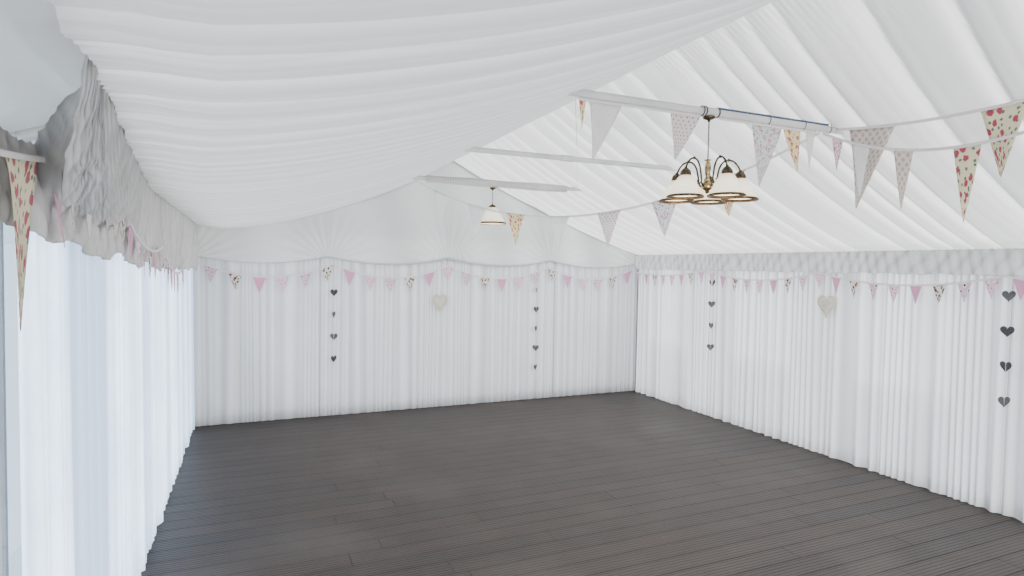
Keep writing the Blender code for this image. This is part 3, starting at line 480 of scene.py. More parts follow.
roof_strips, wall_strips, bars = [], [], []
arch_ys = [BAY * (i - BAYS / 2) for i in range(BAYS + 1)]
for side, sign in (("left", -1), ("right", 1)):
    low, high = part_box(f"roof_cover_{side}")
    wall_low, wall_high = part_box(f"wall_{side}")
    film_low, film_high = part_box(f"windows_{side}")
    slope = (3.1833 - high.z + (high.z - low.z)) / 3
    ridge, eave = np.array([0.0, 0, high.z]), np.array([sign * max(abs(low.x), abs(high.x)), 0, low.z])
    normal = np.array([sign * (ridge[2] - eave[2]), 0, abs(eave[0])])
    normal /= np.linalg.norm(normal)
    top_edge = ridge + normal * 0.0
    share = np.linspace(0.004, 0.996, 12)[:, None]
    rise = np.array([0, 0, 0.0032])
    for y in arch_ys[1:-1]:
        line = (1 - share) * ridge + share * (eave + rise) + (0, y, 0)
        roof_strips.append(strip(line, (0, 1, 0), STRIP_W, normal, STRIP_T))
        outer = sign * max(abs(wall_low.x), abs(wall_high.x))
        upright = np.linspace((outer, y, 0.004), (outer, y, wall_high.z - 0.01), 8)
        wall_strips.append(strip(upright, (0, 1, 0), STRIP_W, (sign, 0, 0), STRIP_T))
    outer_face = sign * max(abs(film_low.x), abs(film_high.x))
    inner_face = sign * min(abs(film_low.x), abs(film_high.x))
    for y in [first + BAY / 2 for first in arch_ys[:-1]]:
        half = WINDOW_W / 2 - BAR_W / 2
        arc = np.linspace(0, np.pi, 25)
        head = np.stack([np.full(25, 0.0), y + half * np.cos(arc), SPRING + (HEAD - SPRING - BAR_W / 2) * np.sin(arc)], -1)
        outline = np.concatenate([[(0, y + half, SILL + 0.02)], head, [(0, y - half, SILL + 0.02)]])
        toward_middle = unit(np.array([0, y, 1.15]) - outline) * (0, 1, 1)
        flat_way = unit(np.cross(np.gradient(outline, axis=0), (1.0, 0, 0)))
        lines = [(outline, flat_way)]
        lines.append((np.linspace((0, y, SILL), (0, y, HEAD - 0.01), 9), (0, 1, 0)))
        lines.append((np.linspace((0, y - half, TRANSOM), (0, y + half, TRANSOM), 9), (0, 0, 1)))
        lines.append((np.linspace((0, y - half, SILL + 0.02), (0, y + half, SILL + 0.02), 9), (0, 0, 1)))
        for way in (-1, 1):
            quarter = np.linspace(0, np.pi / 2.35, 17)
            leaning = np.stack([0 * quarter, y + way * half * (1.36 * np.cos(quarter) - 0.36) - way * 0.0,
                                TRANSOM + (HEAD - TRANSOM) * 1.02 * np.sin(quarter)], -1)
            lines.append((leaning, unit(np.cross(np.gradient(leaning, axis=0), (1.0, 0, 0)))))
        for number, (line, way) in enumerate(lines):
            shifted = line + (inner_face - sign * 0.0001 * number, 0, 0)
            bars.append(strip(shifted, way, BAR_W, (-sign, 0, 0), BAR_T))
seams = solid("roof_weld_strips", joined(roof_strips), coated, 30)
walls_seams = solid("wall_weld_strips", joined(wall_strips), coated, 30)
window_bars = solid("window_bars", joined(bars), coated, 30)


# Roof lining. Satin voile is gathered on webbing along the ridge and along each eave and hangs between them in loose
# billows with sharp creases. On the left it is hooked inboard near the camera, and its edge scallops between the hooks.
LINING_END = 4.40
RIGHT_DRIFT, RIGHT_FALL, RIGHT_BEND = 0.14, 0.506, 0.0382
LEFT_CURVE = ((0, 0.8, 1.2, 1.6, 2.05, 2.45, 2.74), (2.985, 2.53, 2.39, 2.245, 2.125, 2.105, 2.11))
LEFT_EDGE = ((-4.4, -3.4, -2.2, -1.2, -0.9, -0.3, 1.1, 3.3, 4.4), (2.66, 2.5, 2.43, 2.42, 2.44, 2.5, 2.63, 2.65, 2.66))


def wander(s, pitch, seed):
    """A smooth random line along s between about -1 and 1: three sines with periods near the pitch, seeded."""
    draw = np.random.default_rng(seed)
    periods = pitch * draw.uniform(0.7, 1.9, 3)
    phases = draw.uniform(0, 2 * np.pi, 3)
    return sum(np.sin(2 * np.pi * s / period + phase) for period, phase in zip(periods, phases)) / 2.2


def billows(s, pitch, seed, fall=0.17):
    """Cloth that hangs between creases. Over the share of the way from one crease to the next it drops in an
    exponential, lies nearly level, and turns up again just before the next crease. Gives drop and share."""
    phase = s / pitch + 0.55 * wander(s, 5 * pitch, seed)
    share = phase - np.floor(phase)
    return (1 - np.exp(-share / fall)) * (1 - share ** 12) * (1 - 0.3 * share), share


def cloth_lengths(grid):
    """Metres along the mean row and down the mean column of a grid of points, summed step by step."""
    along = np.linalg.norm(np.diff(grid, axis=1), axis=-1).mean(axis=0)
    down = np.linalg.norm(np.diff(grid, axis=0), axis=-1).mean(axis=1)
    return np.concatenate([[0], np.cumsum(along)]), np.concatenate([[0], np.cumsum(down)])


def sheet_piece(name, parts, finishes, thickness=0.0008):
    """A piece of cloth from grids of points (grid, lengths laid out in metres, number of its finish, painted shade of
    each point), made double by Solidify. The lengths go to the UV map, so weave and print follow it."""
    points, faces, numbers, shades, count = [], [], [], [], 0
    layout = []
    for grid, (u, v), number, shade in parts:
        rows, columns = grid.shape[:2]
        quads = grid_faces(rows, columns) + count
        across, down = np.meshgrid(u, v)
        points.append(grid.reshape(-1, 3))
        layout.append(np.stack([across, down], axis=-1).reshape(-1, 2))
        faces.append(quads)
        numbers.append(np.full(len(quads), number))
        shades.append(np.broadcast_to(shade, (rows, columns)).ravel())
        count += rows * columns
    quads = np.concatenate(faces)
    mesh = bpy.data.meshes.new(name)
    mesh.from_pydata(np.concatenate(points).tolist(), [], quads.tolist())
    uv = mesh.uv_layers.new(name="cloth")
    uv.data.foreach_set("uv", np.concatenate(layout)[quads.ravel()].ravel())
    mesh.polygons.foreach_set("material_index", np.concatenate(numbers))
    # The painted shade of each point goes to a point attribute, which the cloth finishes read.
    mesh.attributes.new("hollow", "FLOAT", "POINT").data.foreach_set("value", np.concatenate(shades).astype(float))
    mesh.shade_smooth()
    piece = new_object(name, mesh, finishes)
    wall = piece.modifiers.new("cloth", "SOLIDIFY")
    wall.thickness = thickness
    wall.offset = 0
    return piece


def woven_finish(name, dark, light, crinkle=0.002, crinkle_scale=30.0, sheen=0.3, roughness=0.75):
    """White woven cloth: crossed threads and slubs in the bump, fine crinkles, a cloudy shade, and painted shade: the
    cloth turns greyer where the piece's painted shade value is high, mostly in the hollows of its folds."""
    material, _, shader = new_finish(name, light, roughness)
    shader.inputs["Sheen Weight"].default_value = sheen
    shader.inputs["Sheen Roughness"].default_value = 0.5
    place = object_place(material)
    lengths = cloth_place(material)
    cloud = put(material, "ShaderNodeTexNoise", Vector=place, Scale=2.2, Detail=5.0, Roughness=0.6)
    slub_way = put(material, "ShaderNodeMapping", Vector=lengths, Scale=(60.0, 3.0, 1.0))
    slubs = put(material, "ShaderNodeTexNoise", Vector=slub_way.outputs[0], Scale=6.0, Detail=3.0)
    tone = put(material, "ShaderNodeMath", {"operation": "MULTIPLY_ADD"}, i0=slubs.outputs[0], i1=0.5, i2=cloud.outputs[0])
    cloth = blended(material, stepped(material, tone.outputs[0], 0.45, 1.05), dark, light)
    # Painted shade: the cloth is mixed towards a darker grey by each point's painted shade value.
    hollow = put(material, "ShaderNodeAttribute", {"attribute_name": "hollow"})
    coloured(material, blended(material, hollow.outputs["Fac"], cloth, tuple(0.60 * c for c in dark)))
    warp = put(material, "ShaderNodeTexWave", {"bands_direction": "X"}, Vector=lengths, Scale=260.0)
    weft = put(material, "ShaderNodeTexWave", {"bands_direction": "Y"}, Vector=lengths, Scale=260.0)
    weave = put(material, "ShaderNodeMath", {"operation": "ADD"}, i0=warp.outputs["Fac"], i1=weft.outputs["Fac"])
    crease = put(material, "ShaderNodeTexNoise", Vector=place, Scale=crinkle_scale, Detail=4.0)
    both = put(material, "ShaderNodeMath", {"operation": "MULTIPLY_ADD"}, i0=weave.outputs[0], i1=0.06, i2=crease.outputs[0])
    bumped(material, both.outputs[0], crinkle)
    return material


lining_finish = woven_finish("lining_cloth", (0.74, 0.74, 0.745), (0.83, 0.83, 0.83), 0.0015, 14.0)
y = np.linspace(-LINING_END, LINING_END, 901)
for side, sign in (("left", -1), ("right", 1)):
    share = np.linspace(0, 1, 35)[:, None]
    if side == "right":
        edge = np.full_like(y, 2.735)
        x = 0.004 + share * (edge - 0.004)
        base = 2.985 - RIGHT_FALL * x + RIGHT_BEND * x ** 2
        across = y - RIGHT_DRIFT * x - 0.05 * np.sin(np.pi * share) + 0.03 * wander(x, 2.5, 4)
        pleat, way = billows(across, 0.235, 11)
        small, small_way = billows(across + 0.06 * share, 0.10, 12, 0.3)
        softer = np.interp(y, (-1.0, 4.4), (1.0, 0.45))
        depth = softer * (0.036 * pleat + 0.004 * small)
        # Painted shade: pale at each crease and greyer over the rest of the billow, weaker towards the far end.
        hollow = softer * (0.75 * np.clip(way / 0.4, 0, 1) ** 0.6 + 0.12 * way + 0.13 * np.clip(small_way / 0.4, 0, 1))
    else:
        edge = np.interp(y, *LEFT_EDGE) - 0.02 * np.abs(np.sin(np.pi * y / 0.31)) ** 1.5
        x = 0.004 + share * (edge - 0.004)
        curve = np.polyfit(*LEFT_CURVE, 4)
        base = np.polyval(curve, x)
        drift = 0.06 * np.sin(np.pi * share) + 0.04 * wander(x, 2.2, 5)
        pleat, way = billows(y + drift, 0.17, 21)
        small, small_way = billows(y + 0.5 * drift + 0.02 * wander(x, 0.7, 6), 0.075, 22, 0.3)
        depth = 0.034 * pleat + 0.010 * small * (0.25 + 0.75 * share ** 2)
        # Painted shade: pale at each crease and greyer over the rest of the billow, with the small pleats adding more
        # towards the eave.
        hollow = 0.75 * np.clip(way / 0.4, 0, 1) ** 0.6 + 0.35 * np.clip(small_way / 0.5, 0, 1) * (0.3 + 0.7 * share ** 2)
    near_ends = np.clip(np.minimum(share / 0.1, (1 - share) / 0.08), 0.35, 1)
    fine = 0.004 * np.sin(2 * np.pi * y / 0.033 + 3 * wander(y, 0.4, 8)) * (np.exp(-share / 0.05) + np.exp((share - 1) / 0.06))
    sag = 0.012 * np.sin(np.pi * y / BAY) ** 2 * np.sin(np.pi * share)
    z = base + 0.010 - depth * near_ends + fine - sag
    grid = np.stack([sign * np.broadcast_to(x, z.shape), np.broadcast_to(y, z.shape), z], axis=-1)
    lengths = cloth_lengths(grid)
    lining = sheet_piece(f"lining_{side}", [(grid, lengths, 0, hollow)], [lining_finish])
    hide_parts(f"roof_lining_{side}")


# Gable linings. Flat lining cloth fills both gables up to the roof lining. At the back its hem is caught up on hooks
# and hangs in four swags, with creases that fan out from the hooks. Over the doorway the hem is straight.
def lining_under(x):
    """Height of the roof lining over a place across the marquee, from the two slopes' own curves."""
    left = np.polyval(np.polyfit(*LEFT_CURVE, 4), np.abs(x))
    right = 2.985 - RIGHT_FALL * np.abs(x) + RIGHT_BEND * x ** 2
    return np.where(x < 0, left, right)


gable_finish = woven_finish("gable_cloth", (0.70, 0.72, 0.71), (0.79, 0.81, 0.80), 0.003, 9.0)
HEM, HEM_SAG, SWAGS, HALF = 1.80, 0.08, 4, 2.735
for node in ("gable_lining_back", "gable_lining_front"):
    low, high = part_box(node)
    across = np.linspace(-HALF, HALF, 461)
    down = np.linspace(0, 1, 23)[:, None] ** 0.85
    place = (across + HALF) / (2 * HALF) * SWAGS
    part = place - np.floor(place)
    hem = HEM - 4 * HEM_SAG * part * (1 - part) if node.endswith("back") else np.full_like(across, low.z)
    top = lining_under(across) + 0.005
    z = top + down * (hem - top)
    reach = np.abs(part - np.round(part)) * 1.37
    rise_over = z - HEM
    fan = np.sin(26 * np.arctan2(reach, rise_over + 0.05)) * np.exp(-((reach ** 2 + rise_over ** 2) / 0.16))
    gather = np.sin(2 * np.pi * across / 0.035 + 2 * wander(across, 0.5, 31)) * np.exp((down - 1) / 0.04)
    depth = 0.005 * fan + 0.003 * gather + 0.004 * wander(across + 0.4 * z, 0.8, 32) * (1 - down)
    # Painted shade that follows the fanned creases and the gathers, with a random part, and is darkest along the hem.
    hollow = np.clip(0.35 + 0.3 * fan + 0.25 * gather + 0.25 * wander(across + 0.25 * z, 0.5, 33), 0, 1)
    hollow = np.where(down > 0.97, 1.0, hollow * 0.8)
    middle = (low.y + high.y) / 2
    grid = np.stack([np.broadcast_to(across, z.shape), middle + depth, z], axis=-1)
    lengths = cloth_lengths(grid)
    cloth = sheet_piece(node + "_cloth", [(grid, lengths, 0, hollow)], [gable_finish])
    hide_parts(node)


# Curtains. Sheer white voile is gathered at its heading and falls in soft pleats to the boards, one width to each bay,
# with the selvedges turned in at the posts. On the left one width is drawn aside and leaves a window bare.
curtain_finish = woven_finish("curtain_cloth", (0.74, 0.76, 0.79), (0.84, 0.86, 0.89), 0.0012, 24.0)
sunlit_curtain = woven_finish("sunlit_curtain", (0.46, 0.52, 0.64), (0.88, 0.92, 0.98), 0.0012, 24.0)


def pleated(start, end, top, bottom, pitch, deep, seed, rows=17, step=0.008):
    """A width of curtain from start to end: depth is a sine of the place with a wandering phase, which swells
    from the heading to the hem, and the selvedges turn back. Gives place, depth, height and painted shade."""
    s = np.linspace(start, end, max(int((end - start) / step), 24))
    down = np.linspace(0, 1, rows)[:, None]
    phase = 2 * np.pi * s / pitch + 2.6 * wander(s, 4.3 * pitch, seed) + 0.9 * down * wander(s, 3.1 * pitch, seed + 1)
    broad = np.clip(0.55 + 0.65 * wander(s, 3.7 * pitch, seed + 2), 0.1, 1.15)
    finer = 0.5 * (1.15 - broad) * np.sin(2.3 * phase + 2 * wander(s, 3 * pitch, seed + 5))
    wave = broad * np.sin(phase) + finer
    from_end = np.minimum(s - start, end - s)
    depth = deep * (0.5 + 0.5 * down) * wave * np.clip(from_end / 0.03, 0, 1) - 0.4 * deep * np.exp(-from_end / 0.010)
    fine = 0.005 * np.sin(2 * np.pi * s / 0.031 + wander(s, 0.2, seed + 4)) * np.exp(-down / 0.07)
    sway = 0.006 * down * wander(s, 0.5, seed + 3)
    # Painted shade: greyer on the slack side of each fold, in the gathers at the heading and at the selvedges.
    slack = broad * np.sin(phase - 0.9) + finer
    hollow = np.clip(0.45 - 0.5 * slack - 60 * fine, 0, 1) * 0.8 + 0.25 * np.exp(-from_end / 0.008)
    return s + sway, depth + fine, top + down * (bottom - top), np.clip(hollow, 0, 1)


FOOT = 0.034
# Painted shade along the left curtain: bands of grey at given places along the wall, added to the shade of its folds.
LEFT_SHADE = (
    (-0.06, 0.03, 0.50, 0.62, 1.30, 1.42, 1.60, 1.75, 2.00, 2.30, 2.45, 2.60, 2.95, 3.10, 3.25, 3.50, 3.65, 3.90, 4.10, 4.40),
    (0.00, 0.70, 0.80, 0.10, 0.00, 0.60, 0.55, 0.10, 0.00, 0.05, 0.60, 0.05, 0.00, 0.60, 0.05, 0.70, 0.15, 0.80, 0.30, 0.90),
)
for side, sign in (("left", -1), ("right", 1)):
    low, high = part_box(f"curtain_{side}")
    stops = [-4.398, *arch_ys[1:-1], 4.398]
    widths = list(zip(stops, stops[1:]))
    if side == "left":
        widths = [w for w in widths if w != (-1.5, 0.0)] + [(-1.5, -0.97), (-0.45, 0.0)]
    parts = []
    total = 0
    for number, (a, b) in enumerate(widths):
        near = side == "left" and a >= -1.5 and b <= 0
        pitch, deep = (0.24, 0.036) if near else (0.14, 0.024)
        top = 2.0 if near else high.z - 0.004
        s, depth, z, hollow = pleated(a + 0.0006, b - 0.0006, top, FOOT, pitch, deep, 40 + 7 * number)
        x = sign * ((abs(low.x) + abs(high.x)) / 2 - depth)
        grid = np.stack([x, s, np.broadcast_to(z, x.shape)], axis=-1)
        if side == "left":
            # Painted shade: the listed bands are added to the shade of the folds.
            hollow = np.clip(0.7 * hollow + np.interp(s, *LEFT_SHADE), 0, 1)
        else:
            # Painted light on the right: the cloth is paler where a window stands behind it, and greyer elsewhere.
            from_middle = np.abs((s / BAY) % 1 - 0.5) * BAY
            window_light = np.clip((WINDOW_W / 2 - from_middle) / 0.06, 0, 1) * np.clip((z - SILL) / 0.08, 0, 1)
            hollow = np.clip(hollow + 0.14 - 0.30 * window_light, 0, 1)
        lengths = cloth_lengths(grid)
        total += lengths[0][-1]
        parts.append((grid, lengths, 0, hollow))
    finish = sunlit_curtain if side == "left" else curtain_finish
    curtain = sheet_piece(f"curtain_{side}_voile", parts, [finish])
    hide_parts(f"curtain_{side}")

for node, spans in (
    ("curtain_back", ((-2.735, -1.45), (-1.45, 0.0), (0.0, 1.45), (1.45, 2.735))),
    ("curtain_front_left", ((-2.735, -0.902),)),
    ("curtain_front_right", ((0.902, 2.735),)),
):
    low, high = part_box(node)
    parts, total = [], 0
    toward_room = -1 if node == "curtain_back" else 1
    for number, (a, b) in enumerate(spans):
        s, depth, z, hollow = pleated(a + 0.0006, b - 0.0006, high.z - 0.004, FOOT, 0.12, 0.013, 90 + 5 * number, step=0.007)
        y = (low.y + high.y) / 2 + toward_room * depth
        grid = np.stack([s, y, np.broadcast_to(z, y.shape)], axis=-1)
        lengths = cloth_lengths(grid)
        total += lengths[0][-1]
        parts.append((grid, lengths, 0, hollow))
    curtain = sheet_piece(node + "_voile", parts, [curtain_finish])
    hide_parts(node)


# Valances. Crinkled sheer cloth is gathered on a cord and hooked under the eave on both long walls. It hangs a hand
# and a half deep, is caught up here and there, and hides the curtain headings.
valance_finish = woven_finish("valance_cloth", (0.61, 0.62, 0.62), (0.78, 0.78, 0.77), 0.005, 34.0)


def crumpled(s, down, seed, lean=0.4, size=1.0):
    """Crinkled cloth: ridges of three sines that lean and cross, sharpened by an absolute value."""
    a = np.abs(np.sin(2 * np.pi * (s + 0.25 * down) / (0.11 * size) + 2 * wander(s, 0.6, seed)))
    b = np.abs(np.sin(2 * np.pi * (s - lean * down) / (0.17 * size) + 2 * wander(s, 0.9, seed + 1) + 4 * down))
    c = np.abs(np.sin(2 * np.pi * (down * 0.9 + 0.2 * wander(s, 0.35, seed + 2))))
    return (a + 0.8 * b + 0.5 * c) / 2.3


HOOK_LINE = ((-4.4, -0.50, -0.38, -0.15, 0.25, 0.7, 1.3, 4.4), (-4.4, -0.50, -1.15, -1.0, -0.95, -0.1, 0.9, 4.4))
LEFT_HEM = ((-4.4, -0.75, -0.25, 0.4, 1.26, 2.2, 4.4), (1.80, 1.82, 1.765, 1.74, 1.70, 1.67, 1.66))
NEAR_TOP = ((-4.4, -1.6, -0.82, -0.63, -0.5), (2.07, 2.06, 2.036, 2.017, 2.03))
shaded_valance = woven_finish("shaded_valance", (0.44, 0.427, 0.418), (0.67, 0.655, 0.645), 0.006, 26.0)
for side, sign in (("left", -1), ("right", 1)):
    low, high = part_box(f"valance_{side}")
    s = np.linspace(low.y + 0.002, high.y - 0.002, 901)
    if side == "left":
        s = np.unique(np.concatenate([s, np.linspace(-0.52, -0.13, 150)]))
    down = np.linspace(0, 1, 25 if side == "left" else 15)[:, None]
    hem = low.z + 0.012 * np.abs(wander(s, 0.4, 66))
    if side == "left":
        hem = np.interp(s, *LEFT_HEM) + 0.02 * wander(s, 0.45, 66)
    wall = (abs(low.x) + abs(high.x)) / 2 + 0.010
    if side == "left":
        hooked = np.clip((s + 0.5) / 0.1, 0, 1)
        top_y = np.interp(s, *HOOK_LINE)
        top_x = wall + hooked * (np.interp(top_y, *LEFT_EDGE) - 0.01 - wall)
        near = np.interp(s, *NEAR_TOP)
        top_z = near + hooked * (2.098 - near)
    else:
        top_y, top_x, top_z = s, np.full_like(s, wall), np.full_like(s, high.z + 0.008)
    top_z = top_z + 0.003 * np.sin(2 * np.pi * s / 0.05)
    drawn = np.clip(down / 0.6, 0, 1) ** 0.9
    x = top_x + drawn * (wall - top_x)
    y = top_y + drawn * (s - top_y)
    z = top_z + down * (hem - top_z) - 0.25 * (wall - top_x) * np.sin(np.pi * down) * 0.6
    if side == "left":
        folds = crumpled(y, down * 0.34, 60, 1.3, 1.7)
    else:
        folds = crumpled(y, down * 0.17, 70, 1.0, 1.6)
    spread = np.sin(np.pi * np.clip(down, 0, 0.85) / 1.7) * 0.65 + 0.35
    bulge = 0.005 * np.sin(np.pi * down) * (1 + wander(s + 0.2 * down, 0.37, 75)) if side == "left" else 0
    x = sign * (x - 0.026 * folds * spread - bulge)
    grid = np.stack([x, np.broadcast_to(y, x.shape), z], axis=-1)
    lengths = cloth_lengths(grid)
    # Painted shade: darker where the crinkled folds turn in.
    hollow = np.clip(1.15 - 1.5 * folds, 0, 1)
    finish = shaded_valance if side == "left" else valance_finish
    valance = sheet_piece(f"valance_{side}_voile", [(grid, lengths, 0, hollow)], [finish])
    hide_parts(f"valance_{side}")


# Ruffled sleeve. One tie is dressed in a tube of the valance cloth, sewn shut and pushed together on the bar until it
# stands in small ruffles.
low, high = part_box("tie_ruffle")
s = np.linspace(low.x, high.x, 361)[:, None]
angle = np.linspace(0, 2 * np.pi, 25)
ruffle = np.abs(np.sin(2 * np.pi * s / 0.034 + 1.5 * wander(s, 0.3, 81) + 0.7 * np.sin(angle)))
radius = 0.0225 + 0.011 * ruffle * (0.8 + 0.3 * np.sin(2 * angle + 9 * s))
ends_in = np.clip(np.minimum(s - low.x, high.x - s) / 0.02, 0, 1) ** 0.5
radius = 0.0205 + (radius - 0.0205) * ends_in
droop = -0.006 * (1 - np.sin(angle)) * ends_in
tie_y = (low.y + high.y) / 2
grid = np.stack([np.broadcast_to(s, radius.shape), tie_y + radius * np.cos(angle), TIE_Z + radius * np.sin(angle) + droop], -1)
lengths = cloth_lengths(grid)
# Painted shade: darker between the ruffles.
hollow = np.clip(1.1 - 1.2 * ruffle, 0, 1)
ruffle_sleeve = sheet_piece("ruffle_sleeve", [(grid, lengths, 0, hollow)], [shaded_valance])
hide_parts("tie_ruffle")


# Chandelier. A turned brass stem hangs on a chain from a round plate, five bent tubes rise from its hub and come down
# to ribbed caps, and each cap holds a bell of opal glass with a brass rim. The lamps are lit.
BODY_TOP, BODY_BOTTOM = 2.29, 2.125
ARM_TURN, ARM_REACH = 0.636, 0.165
CAP_TOP, CAP_BOTTOM, CAP_R = 2.215, 2.193, 0.026
SHADE_R, SHADE_BOTTOM = 0.090, 2.085


def brass_finish(name, dark, light, roughness):
    """Old brass: brown lacquer worn bright in patches, fine scratches and tarnish in the hollows."""
    material, _, shader = new_finish(name, light, roughness, 1.0)
    place = object_place(material)
    tarnish = put(material, "ShaderNodeTexNoise", Vector=place, Scale=55.0, Detail=5.0, Roughness=0.65)
    coloured(material, blended(material, stepped(material, tarnish.outputs[0], 0.38, 0.62), dark, light))
    dull = put(material, "ShaderNodeMapRange", Value=tarnish.outputs[0], To_Min=roughness + 0.15, To_Max=roughness - 0.1)
    material.node_tree.links.new(dull.outputs[0], shader.inputs["Roughness"])
    scratch = put(material, "ShaderNodeTexNoise", Vector=place, Scale=700.0, Detail=2.0)
    bumped(material, scratch.outputs[0], 0.0002)
    return material


def opal_finish(name, glow, top, bottom, band):
    """Frosted glass lit from inside: peach under the cap, palest round the lamp, cream lower down, and a brown
    stained band at the rim. The heights of top, bottom and band are in metres."""
    material, _, shader = new_finish(name, (0.93, 0.88, 0.78), 0.35)
    shader.inputs["Emission Strength"].default_value = glow
    height = put(material, "ShaderNodeSeparateXYZ", Vector=object_place(material)).outputs["Z"]
    low_part = stepped(material, height, bottom + band, bottom + 0.45 * (top - bottom))
    high_part = stepped(material, height, top - 0.35 * (top - bottom), top)
    shaded = stepped(material, height, bottom + band * 0.93, bottom + band)
    glow_colour = blended(material, low_part, (1.0, 0.72, 0.38), (1.0, 0.90, 0.66))
    glow_colour = blended(material, high_part, glow_colour, (0.60, 0.34, 0.18))
    glow_colour = blended(material, shaded, (0.012, 0.006, 0.002), glow_colour)
    material.node_tree.links.new(glow_colour, shader.inputs["Emission Color"])
    mist = put(material, "ShaderNodeTexNoise", Vector=object_place(material), Scale=60.0)
    glass = blended(material, mist.outputs[0], (0.80, 0.73, 0.60), (0.92, 0.87, 0.77))
    coloured(material, blended(material, shaded, (0.035, 0.019, 0.009), glass))
    bumped(material, mist.outputs[0], 0.0005)
    return material


def bulb_finish():
    """A lit lamp: warm light, a little brighter in speckles."""
    material, _, shader = new_finish("lit_bulb", (1.0, 0.9, 0.7), 0.3)
    shader.inputs["Emission Strength"].default_value = 9.0
    speckle = put(material, "ShaderNodeTexNoise", Vector=object_place(material), Scale=90.0)
    colour = blended(material, speckle.outputs[0], (1.0, 0.72, 0.38), (1.0, 0.85, 0.6))
    material.node_tree.links.new(colour, shader.inputs["Emission Color"])
    return material


brass = brass_finish("aged_brass", (0.12, 0.09, 0.05), (0.62, 0.46, 0.24), 0.32)
dark_brass = brass_finish("dark_brass", (0.035, 0.03, 0.024), (0.16, 0.125, 0.08), 0.4)
opal = opal_finish("frosted_glass", 1.15, CAP_BOTTOM, SHADE_BOTTOM, 0.011)
lit_bulb = bulb_finish()


def ring_shape(centre, radius, wire, plane, stretch=1.0, turn=0.0, count=20, sides=6):
    """A chain link or a rim: a circle of the radius, stretched along its height, with a round wire along it."""
    t = np.linspace(0, 2 * np.pi, count, endpoint=False)
    spin = np.linspace(0, 2 * np.pi, sides, endpoint=False)[None]
    out = radius + wire * np.cos(spin)
    flat = np.stack([out * np.cos(t)[:, None], out * np.sin(t)[:, None] * stretch, np.broadcast_to(wire * np.sin(spin), (count, sides))], -1)
    points = flat.reshape(-1, 3)
    if plane == "upright":
        across, up, depth = points.T
        points = np.stack([across * math.cos(turn) - depth * math.sin(turn), across * math.sin(turn) + depth * math.cos(turn), up], -1)
    row, column = np.meshgrid(np.arange(count), np.arange(sides), indexing="ij")
    after_row, after = (row + 1) % count, (column + 1) % sides
    corners = [row * sides + column, after_row * sides + column, after_row * sides + after, row * sides + after]
    return points + np.asarray(centre, float), [np.stack(corners, -1).reshape(-1, 4)]


def smooth_path(points, count):
    """A path through points, rounded: each coordinate is a cubic through its neighbours (Catmull-Rom)."""
    points = np.asarray(points, float)
    padded = np.concatenate([2 * points[:1] - points[1:2], points, 2 * points[-1:] - points[-2:-1]])
    at = np.linspace(0, len(points) - 1, count)
    first = np.minimum(at.astype(int), len(points) - 2)
    t = (at - first)[:, None]
    a, b, c, d = (padded[first + i] for i in range(4))
    return 0.5 * (2 * b + (c - a) * t + (2 * a - 5 * b + 4 * c - d) * t ** 2 + (3 * b - a - 3 * c + d) * t ** 3)


def bell(neck, rim, top, bottom, wall, centre, sides=40):
    """A glass bell: its radius grows by 1.15 share - 0.42 share squared + 0.27 share to the fourth on its way down,
    which flares it at the rim, and inside it comes back a wall's thickness nearer the axis."""
    share = np.linspace(0, 1, 18)
    radius = neck + (rim - neck) * (1.15 * share - 0.42 * share ** 2 + 0.27 * share ** 4)
    height = top - (top - bottom) * share ** 1.25
    outer = np.stack([radius, height], -1)
    inner = np.stack([radius - wall, height], -1)[::-1]
    inner[-1, 1] -= wall
    return turned([(0, top), *outer, *inner, (0, top - wall)], centre, sides)


chandelier_low, chandelier_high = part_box("chandelier_frame")
plate_top = chandelier_high.z
metal = [turned([(0, plate_top), (0.030, plate_top), (0.031, plate_top - 0.003), (0.029, plate_top - 0.009),
                 (0.020, plate_top - 0.013), (0.008, plate_top - 0.017), (0.006, plate_top - 0.026), (0, plate_top - 0.028)])]
chain_top, chain_bottom = plate_top - 0.024, BODY_TOP + 0.016
links_count = 13
link_pitch = (chain_top - chain_bottom) / links_count
links = [
    ring_shape((0, 0, chain_top - link_pitch * (i + 0.5)), 0.0042, 0.0011, "upright", 2.35, math.pi / 2 * (i % 2), 16, 6)
    for i in range(links_count)
]
links.append(ring_shape((0, 0, BODY_TOP + 0.010), 0.009, 0.0016, "upright", 1.0, 0.6, 18, 6))
stem = [
    (0, BODY_TOP + 0.004), (0.005, BODY_TOP + 0.003), (0.006, BODY_TOP), (0.015, BODY_TOP - 0.002), (0.016, BODY_TOP - 0.005),
    (0.008, BODY_TOP - 0.009), (0.0075, BODY_TOP - 0.014), (0.012, BODY_TOP - 0.020), (0.0145, BODY_TOP - 0.034),
    (0.016, BODY_TOP - 0.048), (0.014, BODY_TOP - 0.066), (0.0105, BODY_TOP - 0.084), (0.009, BODY_TOP - 0.098),
    (0.0135, BODY_TOP - 0.101), (0.014, BODY_TOP - 0.105), (0.011, BODY_TOP - 0.109), (0.022, BODY_TOP - 0.118),
    (0.0285, BODY_TOP - 0.127), (0.0300, BODY_TOP - 0.136), (0.0285, BODY_TOP - 0.145), (0.022, BODY_TOP - 0.153),
    (0.012, BODY_TOP - 0.158), (0.010, BODY_TOP - 0.162), (0.012, BODY_TOP - 0.166), (0.009, BODY_TOP - 0.171),
    (0.004, BODY_TOP - 0.174), (0, BODY_TOP - 0.176),
]
brass_parts = [turned(stem, sides=28)]
for quarter in range(4):
    way = np.array([math.cos(0.4 + quarter * math.pi / 2), math.sin(0.4 + quarter * math.pi / 2), 0])
    prong = np.linspace(0.004, 0.021, 5)[:, None] * way + (0, 0, BODY_TOP - 0.006)
    brass_parts.append(rod(prong, np.linspace(0.0022, 0.0011, 5), 8))
dark_parts, glass_parts, rims, bulbs = [], [], [], []
lamp_places = []
